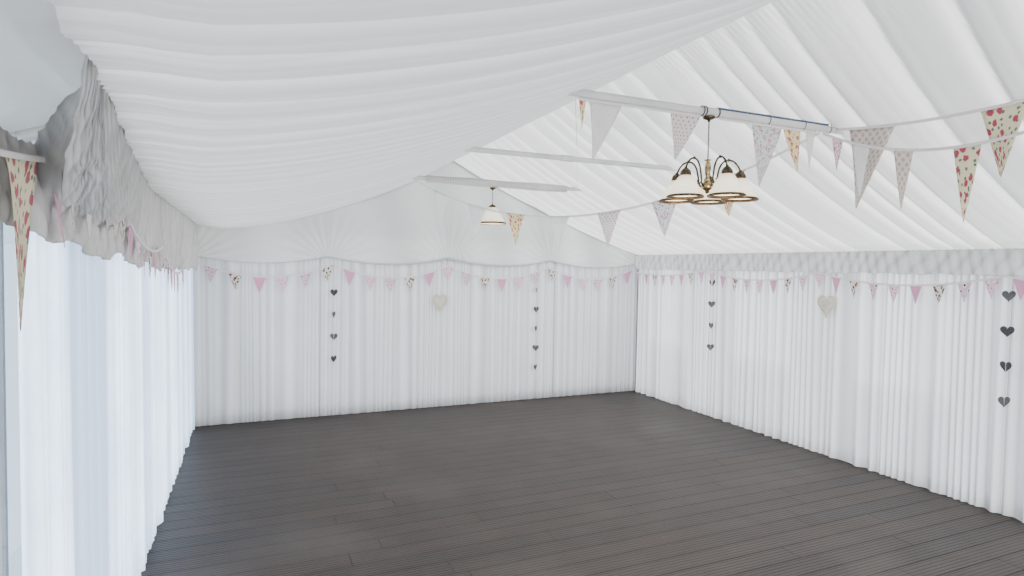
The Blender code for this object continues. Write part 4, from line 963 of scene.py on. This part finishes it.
for number in range(5):
    angle = 2 * math.pi * (number + ARM_TURN) / 5
    out = np.array([math.cos(angle), math.sin(angle), 0])
    square = np.array([-math.sin(angle), math.cos(angle), 0])
    route = [(0.014, 2.150), (0.030, 2.152), (0.044, 2.168), (0.050, 2.205), (0.060, 2.248), (0.080, 2.277), (0.106, 2.285),
             (0.132, 2.277), (0.154, 2.252), (0.164, 2.228), (0.165, 2.212)]
    path = smooth_path([(r, 0, z) for r, z in route], 44)
    path = path[:, :1] * out + path[:, 2:] * (0, 0, 1)
    dark_parts.append(rod(path, 0.0048, 10, square))
    peak = out * 0.104 + (0, 0, 2.2862)
    dark_parts.append(turned([(0, 0.0085), (0.006, 0.006), (0.0085, 0), (0.006, -0.006), (0, -0.0085)], peak, 12))
    leaf = smooth_path([(0.050, 0, 2.172), (0.062, 0, 2.160), (0.075, 0, 2.166), (0.076, 0, 2.180), (0.067, 0, 2.183)], 16)
    leaf = leaf[:, :1] * out + leaf[:, 2:] * (0, 0, 1)
    dark_parts.append(rod(leaf, np.linspace(0.0032, 0.0016, 16), 8, square))
    x, y = ARM_REACH * math.cos(angle), ARM_REACH * math.sin(angle)
    ribs = np.array([(0.0, 0.024), (0.0065, 0.0235), (0.0072, 0.017), (0.012, 0.014), (0.019, 0.007), (0.0245, -0.002),
                     (0.0262, -0.010), (0.0262, -0.017), (0.0235, -0.019), (0.0, -0.019)])
    cap, groups = turned(ribs + (0, CAP_TOP - 0.002), (0, 0, 0), 40)
    around = np.arctan2(cap[:, 1], cap[:, 0])
    flute = 1 + 0.045 * np.cos(10 * around)
    cap = cap * np.stack([flute, flute, np.ones_like(flute)], -1) + (x, y, 0)
    dark_parts.append((cap, groups))
    glass_parts.append((number, bell(CAP_R, SHADE_R, CAP_BOTTOM, SHADE_BOTTOM, 0.003, (x, y, 0))))
    rim = [(0.0855, 0.007), (0.0900, 0.0065), (0.0920, 0.001), (0.0900, -0.003), (0.0855, -0.001), (0.0855, 0.007)]
    rims.append(turned(np.array(rim) + (0, SHADE_BOTTOM), (x, y, 0), 48))
    bulbs.append(turned([(0, 2.185), (0.012, 2.182), (0.014, 2.160), (0.024, 2.142), (0.028, 2.125), (0.022, 2.108), (0, 2.100)], (x, y, 0), 18))
    lamp_places.append((x, y))
stem_piece = solid("chandelier_stem", joined(brass_parts), brass, 50)
metal_piece = solid("chandelier_arms", joined(metal + links + dark_parts), dark_brass, 50)
rim_piece = solid("chandelier_rims", joined(rims), dark_brass, 50)
bulb_piece = solid("chandelier_bulbs", joined(bulbs), lit_bulb, 60)
for piece in (stem_piece, metal_piece):
    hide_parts("chandelier_frame")
for number, shape in glass_parts:
    shade = solid(f"chandelier_glass_{number + 1}", shape, opal, 50)
    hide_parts(f"chandelier_shade_{number + 1}")


# Pendant. One lamp hangs under the ruffled tie on a chain-wound rod, with a dark cap and a wide opal bell that has a
# dark rim.
low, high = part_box("pendant_rod")
shade_low, shade_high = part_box("pendant_shade")
px, py = (low.x + high.x) / 2, (low.y + high.y) / 2
rod_parts = [turned([(0, high.z), (0.030, high.z), (0.030, high.z - 0.010), (0.016, high.z - 0.017), (0.006, high.z - 0.024), (0, high.z - 0.026)], (px, py, 0))]
pendant_links = 8
span = (high.z - 0.022) - 2.322
for i in range(pendant_links):
    rod_parts.append(ring_shape((px, py, 2.322 + span * (i + 0.5) / pendant_links), 0.0045, 0.0013, "upright", 2.3, math.pi / 2 * (i % 2), 14, 6))
rod_parts.append(turned([(0, 2.330), (0.006, 2.328), (0.008, 2.322), (0.020, 2.318), (0.031, 2.309), (0.035, 2.300), (0.035, 2.2955), (0, 2.2955)], (px, py, 0), 28))
pendant_metal = solid("pendant_fitting", joined(rod_parts), dark_brass, 50)
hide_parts("pendant_rod")
pendant_opal = opal_finish("pendant_glass", 0.8, shade_high.z, shade_low.z, 0.004)
pendant_glass = solid("pendant_bell", bell(0.035, 0.135, shade_high.z, shade_low.z, 0.0035, (px, py, 0), 48), pendant_opal, 50)
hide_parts("pendant_shade")
rim_band = [(0.128, 0.016), (0.132, 0.016), (0.1365, 0.002), (0.135, -0.001), (0.130, 0.0), (0.128, 0.016)]
pendant_rim = solid(
    "pendant_rim", turned(np.array(rim_band) + (0, shade_low.z), (px, py, 0), 56), dark_brass, 50,
)
pendant_bulb = solid("pendant_bulb", turned([(0, 2.285), (0.013, 2.28), (0.016, 2.25), (0.029, 2.225), (0.034, 2.203), (0.026, 2.180), (0, 2.170)], (px, py, 0), 20), lit_bulb, 60)


# Bunting. Three-cornered flags of printed and plain cotton, folded over a cotton tape and stitched, are tied along the
# back and both long walls, in swags between hooks. Prints are small flowers, dots and sprigs of no particular maker.
PRINTS = {
    "plain_pink": ((0.60, 0.27, 0.41), ()),
    "pink_sprig": ((0.66, 0.42, 0.51), (((0.86, 0.80, 0.80), 0.022, 0.20, 0.6, 1.0), ((0.30, 0.07, 0.12), 0.05, 0.10, 0.5, 4.0))),
    "red_floral": ((0.70, 0.62, 0.42), (((0.10, 0.15, 0.07), 0.036, 0.16, 0.8, 5.0), ((0.38, 0.03, 0.06), 0.060, 0.21, 0.7, 2.0))),
    "black_floral": ((0.60, 0.62, 0.62), (((0.62, 0.32, 0.38), 0.050, 0.22, 0.8, 7.0), ((0.06, 0.09, 0.07), 0.026, 0.12, 0.9, 3.0))),
    "brown_dots": ((0.64, 0.57, 0.49), (((0.43, 0.33, 0.31), 0.033, 0.29, 0.0, 4.0),)),
    "yellow_sprig": ((0.74, 0.62, 0.33), (((0.16, 0.16, 0.06), 0.030, 0.12, 0.8, 1.0), ((0.46, 0.07, 0.07), 0.046, 0.22, 0.7, 6.0))),
    "pale_grey": ((0.72, 0.71, 0.68), (((0.66, 0.65, 0.63), 0.03, 0.2, 0.8, 8.0),)),
    "blush_dash": ((0.68, 0.59, 0.59), (((0.07, 0.09, 0.07), 0.026, 0.14, 0.2, 9.0),)),
    "pink_spot": ((0.62, 0.40, 0.49), (((0.80, 0.76, 0.77), 0.056, 0.27, 0.25, 1.0), ((0.03, 0.02, 0.025), 0.056, 0.15, 0.25, 1.0))),
    "cream_sprig": ((0.66, 0.62, 0.55), (((0.16, 0.02, 0.035), 0.05, 0.25, 0.5, 1.6), ((0.05, 0.08, 0.045), 0.042, 0.18, 0.6, 3.0))),
    "tape": ((0.70, 0.66, 0.64), ()),
}


def printed_cotton(name, ground, motifs):
    """Cotton with motifs: each is a field of cells, inked where the distance from a cell's middle, made ragged by
    noise, is under its share of the cell. Cells stand in rows where disorder is 0. Threads cross in the bump."""
    material, _, shader = new_finish(name, ground, 0.85)
    shader.inputs["Sheen Weight"].default_value = 0.2
    lengths = cloth_place(material)
    soft = put(material, "ShaderNodeTexNoise", Vector=lengths, Scale=18.0, Detail=4.0)
    ink = blended(material, soft.outputs[0], tuple(0.88 * c for c in ground), tuple(min(1.08 * c, 1) for c in ground))
    for colour, pitch, size, disorder, offset in motifs:
        moved = put(
            material, "ShaderNodeMapping", Vector=lengths, Location=(offset, offset, 0.0),
            Rotation=(0.0, 0.0, math.radians(45)),
        )
        cells = put(
            material, "ShaderNodeTexVoronoi", {"voronoi_dimensions": "2D"}, Vector=moved.outputs[0], Scale=1 / pitch,
            Randomness=disorder,
        )
        ragged = put(material, "ShaderNodeTexNoise", Vector=moved.outputs[0], Scale=2.6 / pitch, Detail=1.0)
        edge = put(
            material, "ShaderNodeMath", {"operation": "MULTIPLY_ADD"}, i0=ragged.outputs[0], i1=0.5 * disorder,
            i2=cells.outputs["Distance"],
        )
        reach = size + 0.25 * disorder
        inside = put(
            material, "ShaderNodeMapRange", Value=edge.outputs[0], From_Min=reach, From_Max=reach + 0.06, To_Min=1.0,
            To_Max=0.0,
        )
        ink = blended(material, inside.outputs[0], ink, colour)
    coloured(material, ink)
    warp = put(material, "ShaderNodeTexWave", {"bands_direction": "X"}, Vector=lengths, Scale=330.0)
    weft = put(material, "ShaderNodeTexWave", {"bands_direction": "Y"}, Vector=lengths, Scale=330.0)
    weave = put(material, "ShaderNodeMath", {"operation": "ADD"}, i0=warp.outputs["Fac"], i1=weft.outputs["Fac"])
    bumped(material, weave.outputs[0], 0.0003)
    return material


PRINT_NAMES = list(PRINTS)
print_finishes = [printed_cotton("cotton_" + name, *PRINTS[name]) for name in PRINT_NAMES]
TAPE_H = 0.015


def flag_grid(middle, width, height, level, draw, lean=0.0, curl=0.006):
    """One flag as (along, depth, height): its width shrinks to a point as it goes down, its point leans along
    the tape, and it bows in depth by a half wave across and a quarter wave down."""
    down = np.linspace(0, 1, 9)[:, None]
    across = np.linspace(-1, 1, 9)
    half = width / 2 * (1 - 0.985 * down)
    along = middle + across * half + lean * down ** 1.2
    depth = curl * np.sin(np.pi * across * 0.6 + draw.uniform(-1, 1)) * np.sqrt(down) * (1 - down) * 1.6 * draw.choice([-1, 1])
    depth = depth + curl * 0.7 * draw.uniform(-1, 1) * np.sin(np.pi * 0.5 * down)
    z = level(middle + across * half * 1.0) - 0.001 - down * height - 0.004 * np.abs(across) * down
    u0, v0 = draw.uniform(0, 3, 2)
    return np.stack([along, np.broadcast_to(depth, along.shape), z], -1), (u0 + across * width / 2, v0 + down[:, 0] * height)


def tape_grid(start, end, level, step=0.02):
    """The tape as (along, depth, height): it follows the swags, folded over the flags' upper edge."""
    s = np.linspace(start, end, max(int((end - start) / step), 12))
    down = np.array([0, 0.35, 0.7, 1.0])[:, None]
    z = level(s) - down * TAPE_H
    depth = 0.0016 + 0.0006 * np.sin(np.pi * down) + 0 * s
    return np.stack([np.broadcast_to(s, z.shape), depth, z], -1), (s, down[:, 0] * TAPE_H)


def garland(name, node, flags, level, span, place):
    """A tape with flags as one piece of cloth. flags are (middle, width, height, print, lean), and place turns
    (along, depth, height) into the marquee's own place."""
    draw = np.random.default_rng(len(name) * 7 + len(flags))
    parts = []
    area = (span[1] - span[0]) * TAPE_H
    for middle, width, height, kind, lean in flags:
        grid, lengths = flag_grid(middle, width, height, level, draw, lean, 0.05 * width)
        parts.append((place(grid), lengths, PRINT_NAMES.index(kind), 0.0))
        area += width * height / 2
    grid, lengths = tape_grid(*span, level)
    parts.append((place(grid), lengths, PRINT_NAMES.index("tape"), 0.0))
    piece = sheet_piece(name, parts, print_finishes, 0.0012)
    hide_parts(node)
    return piece


def swags(hooks, height, sag):
    """Height of a tape that hangs between hooks: four times the sag times share times (1 - share) under the line
    from hook to hook."""
    hooks = np.asarray(hooks, float)
    heights = np.broadcast_to(np.asarray(height, float), hooks.shape)
    sags = np.broadcast_to(np.asarray(sag, float), len(hooks) - 1)

    def level(s):
        s = np.clip(s, hooks[0], hooks[-1] - 1e-9)
        number = np.clip(np.searchsorted(hooks, s, side="right") - 1, 0, len(hooks) - 2)
        share = (s - hooks[number]) / (hooks[number + 1] - hooks[number])
        return heights[number] + share * (heights[number + 1] - heights[number]) - 4 * sags[number] * share * (1 - share)
    return level


def along_wall(x):
    """Places (along, depth, height) on a long wall at x, with depth towards the room."""
    def place(grid):
        along, depth, z = np.moveaxis(grid, -1, 0)
        return np.stack([x - math.copysign(1, x) * depth, along, z], -1)
    return place


def across_room(y):
    """Places (along, depth, height) on a line across the marquee at y, with depth towards the door."""
    def place(grid):
        along, depth, z = np.moveaxis(grid, -1, 0)
        return np.stack([along, y - depth, z], -1)
    return place


low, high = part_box("bunting_back")
count = int((high.x - low.x - 0.135) / 0.23) + 1
middles = 0.23 * (np.arange(count) - (count - 1) / 2)
order = ["pink_spot", "cream_sprig", "plain_pink", "pink_sprig"]
flags = [(m, 0.135, 0.17, order[i % 4], 0.0) for i, m in enumerate(middles)]
hooks = [low.x + (high.x - low.x) * i / 4 for i in range(5)]
garland("bunting_back_flags", "bunting_back", flags, swags(hooks, high.z, 0.15), (low.x, high.x), across_room((low.y + high.y) / 2))

LARGE_FLAGS = [
    (-0.72, 0.23, 0.40, "red_floral", -0.02), (-0.50, 0.12, 0.23, "plain_pink", 0.10),
    (-0.34, 0.09, 0.21, "black_floral", 0.03), (-0.12, 0.10, 0.18, "pale_grey", 0.0), (0.13, 0.14, 0.16, "pink_sprig", 0.0),
]
LEFT_SWAGS = ((-3.0, -1.605, -0.345, 0.405, 1.605, 3.0), (1.938, 1.938, 2.02, 1.965, 1.82, 1.75), (0.09, 0.03, 0.03, 0.09, 0.13))
RIGHT_SWAGS = ((-4.38, -3.0, -1.5, 0, 1.5, 3.0, 4.38), (-0.04, 0, 0, 0, 0, 0, -0.04), (0.05, 0.09, 0.09, 0.09, 0.09, 0.05))
for side in ("left", "right"):
    low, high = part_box(f"bunting_{side}")
    count = int((high.y - low.y - 0.10) / 0.175) + 1
    middles = 0.175 * (np.arange(count) - (count - 1) / 2)
    order = ["plain_pink", "pink_sprig", "pink_spot", "cream_sprig"]
    flags = [(m, 0.10, 0.15, order[i % len(order)], 0.0) for i, m in enumerate(middles)]
    hooks, rises, sags = RIGHT_SWAGS
    curve = swags(hooks, high.z + np.array(rises), sags)
    if side == "left":
        flags = [flag for flag in flags if not -0.9 < flag[0] < 0.25] + LARGE_FLAGS
        curve = swags(*LEFT_SWAGS)
    middle = (low.x + high.x) / 2
    place = along_wall(middle - math.copysign(0.022 if side == "left" else 0.010, middle))
    garland(f"bunting_{side}_flags", f"bunting_{side}", flags, curve, (low.y, high.y), place)


# Pennants. Longer flags of the same cottons hang on tapes: under the middle tie, between two ties on the right, and
# across the room from the ruffled tie to the middle one.
tie_low = TIE_Z - TIE_R - 0.0003


def flat_level(s):
    return np.full_like(np.asarray(s, float), tie_low)


under_tie = across_room(0.0)
garland(
    "pennants_tie_left_flags", "pennants_tie_left",
    [(-0.742, 0.04, 0.14, "yellow_sprig", 0.0), (-0.615, 0.19, 0.28, "pale_grey", -0.068), (-0.15, 0.19, 0.24, "blush_dash", -0.063)],
    flat_level, (-0.765, -0.055), under_tie,
)
garland(
    "pennants_tie_right_flags", "pennants_tie_right",
    [(0.395, 0.22, 0.33, "black_floral", -0.045), (0.575, 0.13, 0.23, "yellow_sprig", 0.055), (0.715, 0.07, 0.21, "pale_grey", 0.0)],
    flat_level, (0.06, 0.76), under_tie,
)
garland(
    "pennants_high_flags", "pennants_high",
    [(-1.20, 0.20, 0.32, "red_floral", 0.0), (-0.85, 0.20, 0.32, "red_floral", 0.0), (-0.23, 0.27, 0.43, "brown_dots", 0.08)],
    swags((-1.4807, -0.0193), 2.537, 0.06), (-1.4807, -0.0193), along_wall(0.90),
)
garland(
    "pennants_low_flags", "pennants_low",
    [(-1.10, 0.14, 0.32, "red_floral", 0.0), (-0.75, 0.12, 0.35, "red_floral", 0.0), (-0.46, 0.10, 0.30, "brown_dots", 0.0),
     (-0.23, 0.10, 0.28, "pale_grey", 0.0), (-0.09, 0.07, 0.18, "pink_sprig", 0.0)],
    swags((-1.5, 0.0), tie_low, 0.20), (-1.5, 0.0), along_wall(0.82),
)
ACROSS_FROM, ACROSS_TO = np.array([-0.76, 3.0]), np.array([0.79, 0.0])
across_length = float(np.linalg.norm(ACROSS_TO - ACROSS_FROM))
across_way = (ACROSS_TO - ACROSS_FROM) / across_length


def slanted(grid):
    along, depth, z = np.moveaxis(grid, -1, 0)
    x = ACROSS_FROM[0] + across_way[0] * along - across_way[1] * depth
    y = ACROSS_FROM[1] + across_way[1] * along + across_way[0] * depth
    return np.stack([x, y, z], -1)


kinds = ["pale_grey", "pale_grey", "yellow_sprig", "pale_grey", "blush_dash", "black_floral", "yellow_sprig"]
garland(
    "pennants_across_flags", "pennants_across", [(0.335 + 0.424 * i, 0.19, 0.25, kind, 0.0) for i, kind in enumerate(kinds)],
    swags((0, across_length), tie_low, 0.40), (0, across_length), slanted,
)


# Cord and rod on the ties. A taut pale cord runs under three ties, and a thin blue painted rod is strapped along the
# top of the middle tie with black cable ties.
def blue_finish():
    """Dark blue paint, chipped to grey in specks."""
    material, _, shader = new_finish("blue_paint", (0.05, 0.08, 0.15), 0.35)
    chips = put(material, "ShaderNodeTexNoise", Vector=object_place(material), Scale=120.0, Detail=4.0)
    coloured(material, blended(material, stepped(material, chips.outputs[0], 0.62, 0.68), (0.04, 0.07, 0.15), (0.25, 0.27, 0.3)))
    bumped(material, chips.outputs[0], 0.0002)
    return material


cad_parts["tie_cord"].data.materials.clear()
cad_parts["tie_cord"].data.materials.append(twine)
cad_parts["blue_rod"].data.materials.clear()
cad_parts["blue_rod"].data.materials.append(blue_finish())


def strap_round(x):
    """A cable tie round tie and rod: an upright oval band with a small head."""
    t = np.linspace(0, 2 * np.pi, 28, endpoint=False)
    centre_z, tall, wide = TIE_Z + 0.0058, 0.0262, 0.0205
    ring = np.stack([np.full(28, x), wide * np.cos(t), centre_z + tall * np.sin(t)], -1)
    outward = np.stack([np.zeros(28), np.cos(t), np.sin(t)], -1)
    corners = [ring + (-0.0024, 0, 0), ring + (0.0024, 0, 0), ring + (0.0024, 0, 0) + outward * 0.0014, ring + (-0.0024, 0, 0) + outward * 0.0014]
    points = np.stack(corners, 1).reshape(-1, 3)
    row, column = np.meshgrid(np.arange(28), np.arange(4), indexing="ij")
    after_row, after = (row + 1) % 28, (column + 1) % 4
    quads = np.stack([row * 4 + column, after_row * 4 + column, after_row * 4 + after, row * 4 + after], -1).reshape(-1, 4)
    return points, [quads]


straps = solid("cable_ties", joined([strap_round(x) for x in (0.40, 0.66, 0.86)]), black_plastic, 30)


# Hanging hearts. Two padded hearts of cream painted willow hang on white ribbon, one on the back wall and one on the
# right. The willow is woven over and under, and a twisted band binds the rim.
def willow_finish():
    """Cream paint on woven willow: crossed slats in the bump, with painted shade where the weave dips between them,
    rubbed brown on the high places.
    """
    material, _, shader = new_finish("cream_wicker", (0.70, 0.66, 0.55), 0.7)
    place = object_place(material)
    slats = [
        put(material, "ShaderNodeTexWave", {"bands_direction": way}, Vector=place, Scale=26.0, Distortion=0.6).outputs["Fac"]
        for way in ("X", "Y", "Z")
    ]
    first = put(material, "ShaderNodeMath", {"operation": "MULTIPLY"}, i0=slats[0], i1=slats[2])
    second = put(material, "ShaderNodeMath", {"operation": "MULTIPLY"}, i0=slats[1], i1=slats[2])
    weave = put(material, "ShaderNodeMath", {"operation": "MAXIMUM"}, i0=first.outputs[0], i1=second.outputs[0])
    rub = put(material, "ShaderNodeTexNoise", Vector=place, Scale=70.0, Detail=4.0)
    # Painted shade: the cream paint is darker where the weave is low, between the slats.
    paint_and_gap_shade = blended(material, weave.outputs[0], (0.46, 0.42, 0.33), (0.78, 0.75, 0.66))
    coloured(material, blended(material, stepped(material, rub.outputs[0], 0.6, 0.75), paint_and_gap_shade, (0.40, 0.31, 0.2)))
    bumped(material, weave.outputs[0], 0.003)
    return material


willow = willow_finish()
ribbon_finish = woven_finish("ribbon_satin", (0.78, 0.78, 0.77), (0.86, 0.86, 0.85), 0.0005, 90.0)
for node, facing in (("hanging_heart_back", "back"), ("hanging_heart_right", "right")):
    low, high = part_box(node)
    heart_z = low.z + 0.21 * 0.586
    face = (low + high) / 2
    centre = (face.x, face.y, heart_z)
    body = pillow(0.178, 0.198, 0.040, 72, 12, 0.55)
    points, groups = body
    lattice = np.sin(points[:, 0] * 2 * np.pi / 0.022) * np.sin(points[:, 1] * 2 * np.pi / 0.022)
    points = points + np.stack([0 * lattice, 0 * lattice, 0.0016 * lattice * np.sign(points[:, 2])], -1)
    rim = heart_outline(72) * (0.182, 0.202)
    rim = np.concatenate([rim, rim[:2]])
    band = rod(np.concatenate([rim, np.zeros((len(rim), 1))], axis=1), 0.0055 + 0.001 * np.sin(np.arange(len(rim)) * 1.3), 8, (0, 0, 1))
    heart = solid(node + "_willow", joined([hung((points, groups), centre, 0, facing), hung(band, centre, 0, facing)]), willow, 60)
    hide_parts(node)
    rise = np.linspace(0, 1, 12)[:, None]
    across = np.linspace(-0.006, 0.006, 3)
    top_z = high.z
    bottom_z = heart_z + 0.07
    z = bottom_z + rise * (top_z - bottom_z) + 0 * across
    bow = 0.004 * np.sin(np.pi * rise) + 0 * across
    wide = across * (1 + 0.6 * np.sin(np.pi * rise))
    back_y = 0.012
    if facing == "back":
        grid = np.stack([face.x + wide, face.y + back_y - bow, z], -1)
    else:
        grid = np.stack([face.x + back_y - bow, face.y + wide, z], -1)
    lengths = cloth_lengths(grid)
    ribbon = sheet_piece(node + "_ribbon", [(grid, lengths, 0, 0.0)], [ribbon_finish], 0.0006)


# Ground and light. The marquee stands on a plain pale ground under an even sky. Inside, broad soft lights stand for
# the daylight that comes through the white cloth, and five small warm ones for the lamps.
def plain_stage():
    """A pale ground, 60 m square, with a faint grain."""
    mesh = bpy.data.meshes.new("ground")
    reach, level = 30.0, -0.004
    mesh.from_pydata([(-reach, -reach, level), (reach, -reach, level), (reach, reach, level), (-reach, reach, level)], [], [(0, 1, 2, 3)])
    ground = bpy.data.objects.new("ground", mesh)
    bpy.context.scene.collection.objects.link(ground)
    material, _, shader = new_finish("ground", (0.62, 0.62, 0.61), 0.9)
    grain = put(material, "ShaderNodeTexNoise", Vector=object_place(material), Scale=3.0)
    coloured(material, blended(material, grain.outputs[0], (0.58, 0.58, 0.57), (0.66, 0.66, 0.65)))
    mesh.materials.append(material)


def soft_light(name, place, facing, size, power, colour=(1, 1, 1)):
    """An area light that the camera doesn't see, turned to face a direction."""
    data = bpy.data.lights.new(name, "AREA")
    data.shape = "RECTANGLE"
    data.size, data.size_y = size
    data.energy = power
    data.color = colour
    light = bpy.data.objects.new(name, data)
    light.location = place
    light.rotation_euler = Vector(facing).to_track_quat("-Z", "Y").to_euler()
    light.visible_camera = False
    light.visible_glossy = False
    bpy.context.scene.collection.objects.link(light)


plain_stage()
world = bpy.data.worlds.new("sky")
world.use_nodes = True
world.node_tree.nodes["Background"].inputs[0].default_value = (0.93, 0.96, 1.0, 1)
world.node_tree.nodes["Background"].inputs[1].default_value = 0.85
bpy.context.scene.world = world


def slanting_light(name, travel, power, colour, lit, stopped_by, spread=14):
    """Daylight from one side: a sun that only the pieces in lit receive, and only those in stopped_by shade."""
    data = bpy.data.lights.new(name, "SUN")
    data.energy = power
    data.angle = math.radians(spread)
    data.color = colour
    light = bpy.data.objects.new(name, data)
    light.rotation_euler = Vector(travel).to_track_quat("-Z", "Y").to_euler()
    for kind, pieces in (("receiver_collection", lit), ("blocker_collection", stopped_by)):
        group = bpy.data.collections.new(f"{name}_{kind}")
        for piece in pieces:
            group.objects.link(piece)
        setattr(light.light_linking, kind, group)
    bpy.context.scene.collection.objects.link(light)


OUTER = ("roof_cover", "roof_weld", "gable_cover", "wall_", "windows", "window_bars", "ground")
pieces = [piece for piece in bpy.context.scene.objects if piece.type == "MESH"]
outside = [piece for piece in pieces if any(word in piece.name for word in OUTER)]
inside = [piece for piece in pieces if piece not in outside]
left_pieces = [piece for piece in inside if "curtain_left" in piece.name]
lamp_metal = [stem_piece, metal_piece]
far_pieces = [piece for piece in inside if "back" in piece.name]
left_slope = [piece for piece in inside if piece.name == "lining_left"]
right_slope = [piece for piece in inside if piece.name == "lining_right"]
right_wall = [piece for piece in inside if piece.name == "curtain_right_voile"]
covers = [piece for piece in outside if "roof_cover" in piece.name]
left_valance = [piece for piece in inside if piece.name in ("valance_left_voile", "bunting_left_flags")]
left_wall = [piece for piece in outside if piece.name in ("wall_left", "windows_left", "window_bars")]
others = [piece for piece in inside if piece not in far_pieces + left_slope + right_slope]
WHITE, WARM, BLUISH = (1.0, 1.0, 0.985), (1.0, 0.99, 0.96), (0.70, 0.86, 1.0)
slanting_light("open_sky", (0.35, 0.5, -1.0), 1.5, (1.0, 0.98, 0.95), outside, outside, 20)
slanting_light("along_room", (0.30, 1.0, 0.42), 2.2, WHITE, others, lamp_metal)
slanting_light("on_right_slope", (0.30, 1.0, 0.45), 10.5, WARM, right_slope, lamp_metal)
slanting_light("on_left_slope", (-0.25, 1.0, 0.42), 4.0, WHITE, left_slope, lamp_metal)
slanting_light("on_far_wall", (0.55, 1.0, 0.30), 1.4, WHITE, far_pieces, lamp_metal)
slanting_light("under_cover", (-0.2, 0.5, 1.0), 1.3, WHITE, covers, lamp_metal)
slanting_light("on_right_wall", (0.6, 0.8, 0.0), 2.8, WHITE, right_wall, lamp_metal)
slanting_light("through_left_wall", (-0.42, 1.0, -0.05), 17.0, BLUISH, left_pieces, lamp_metal)
slanting_light("on_left_valance", (-0.45, 1.0, -0.15), 1.3, WHITE, left_valance, lamp_metal)
slanting_light("through_window", (-0.8, 0.6, -0.05), 6.0, BLUISH, left_wall, lamp_metal)
DAY = (0.95, 0.975, 1.0)
soft_light("from_floor", (0, 0.2, 0.12), (0, 0, 1), (4.8, 8.2), 95, DAY)
soft_light("from_ceiling", (0.3, 0.2, 2.05), (0, 0, -1), (4.2, 8.2), 60, DAY)
soft_light("from_left", (-2.35, 0.4, 1.2), (1, 0, 0.25), (7.5, 1.6), 42, DAY)
soft_light("from_right", (2.35, 0.6, 1.2), (-1, 0, 0.2), (7.0, 1.6), 26, DAY)
for number, (x, y) in enumerate(lamp_places):
    data = bpy.data.lights.new(f"lamp_{number}", "POINT")
    data.energy = 0.3
    data.color = (1.0, 0.78, 0.5)
    data.shadow_soft_size = 0.03
    lamp = bpy.data.objects.new(f"lamp_{number}", data)
    lamp.location = (x, y, SHADE_BOTTOM - 0.02)
    bpy.context.scene.collection.objects.link(lamp)
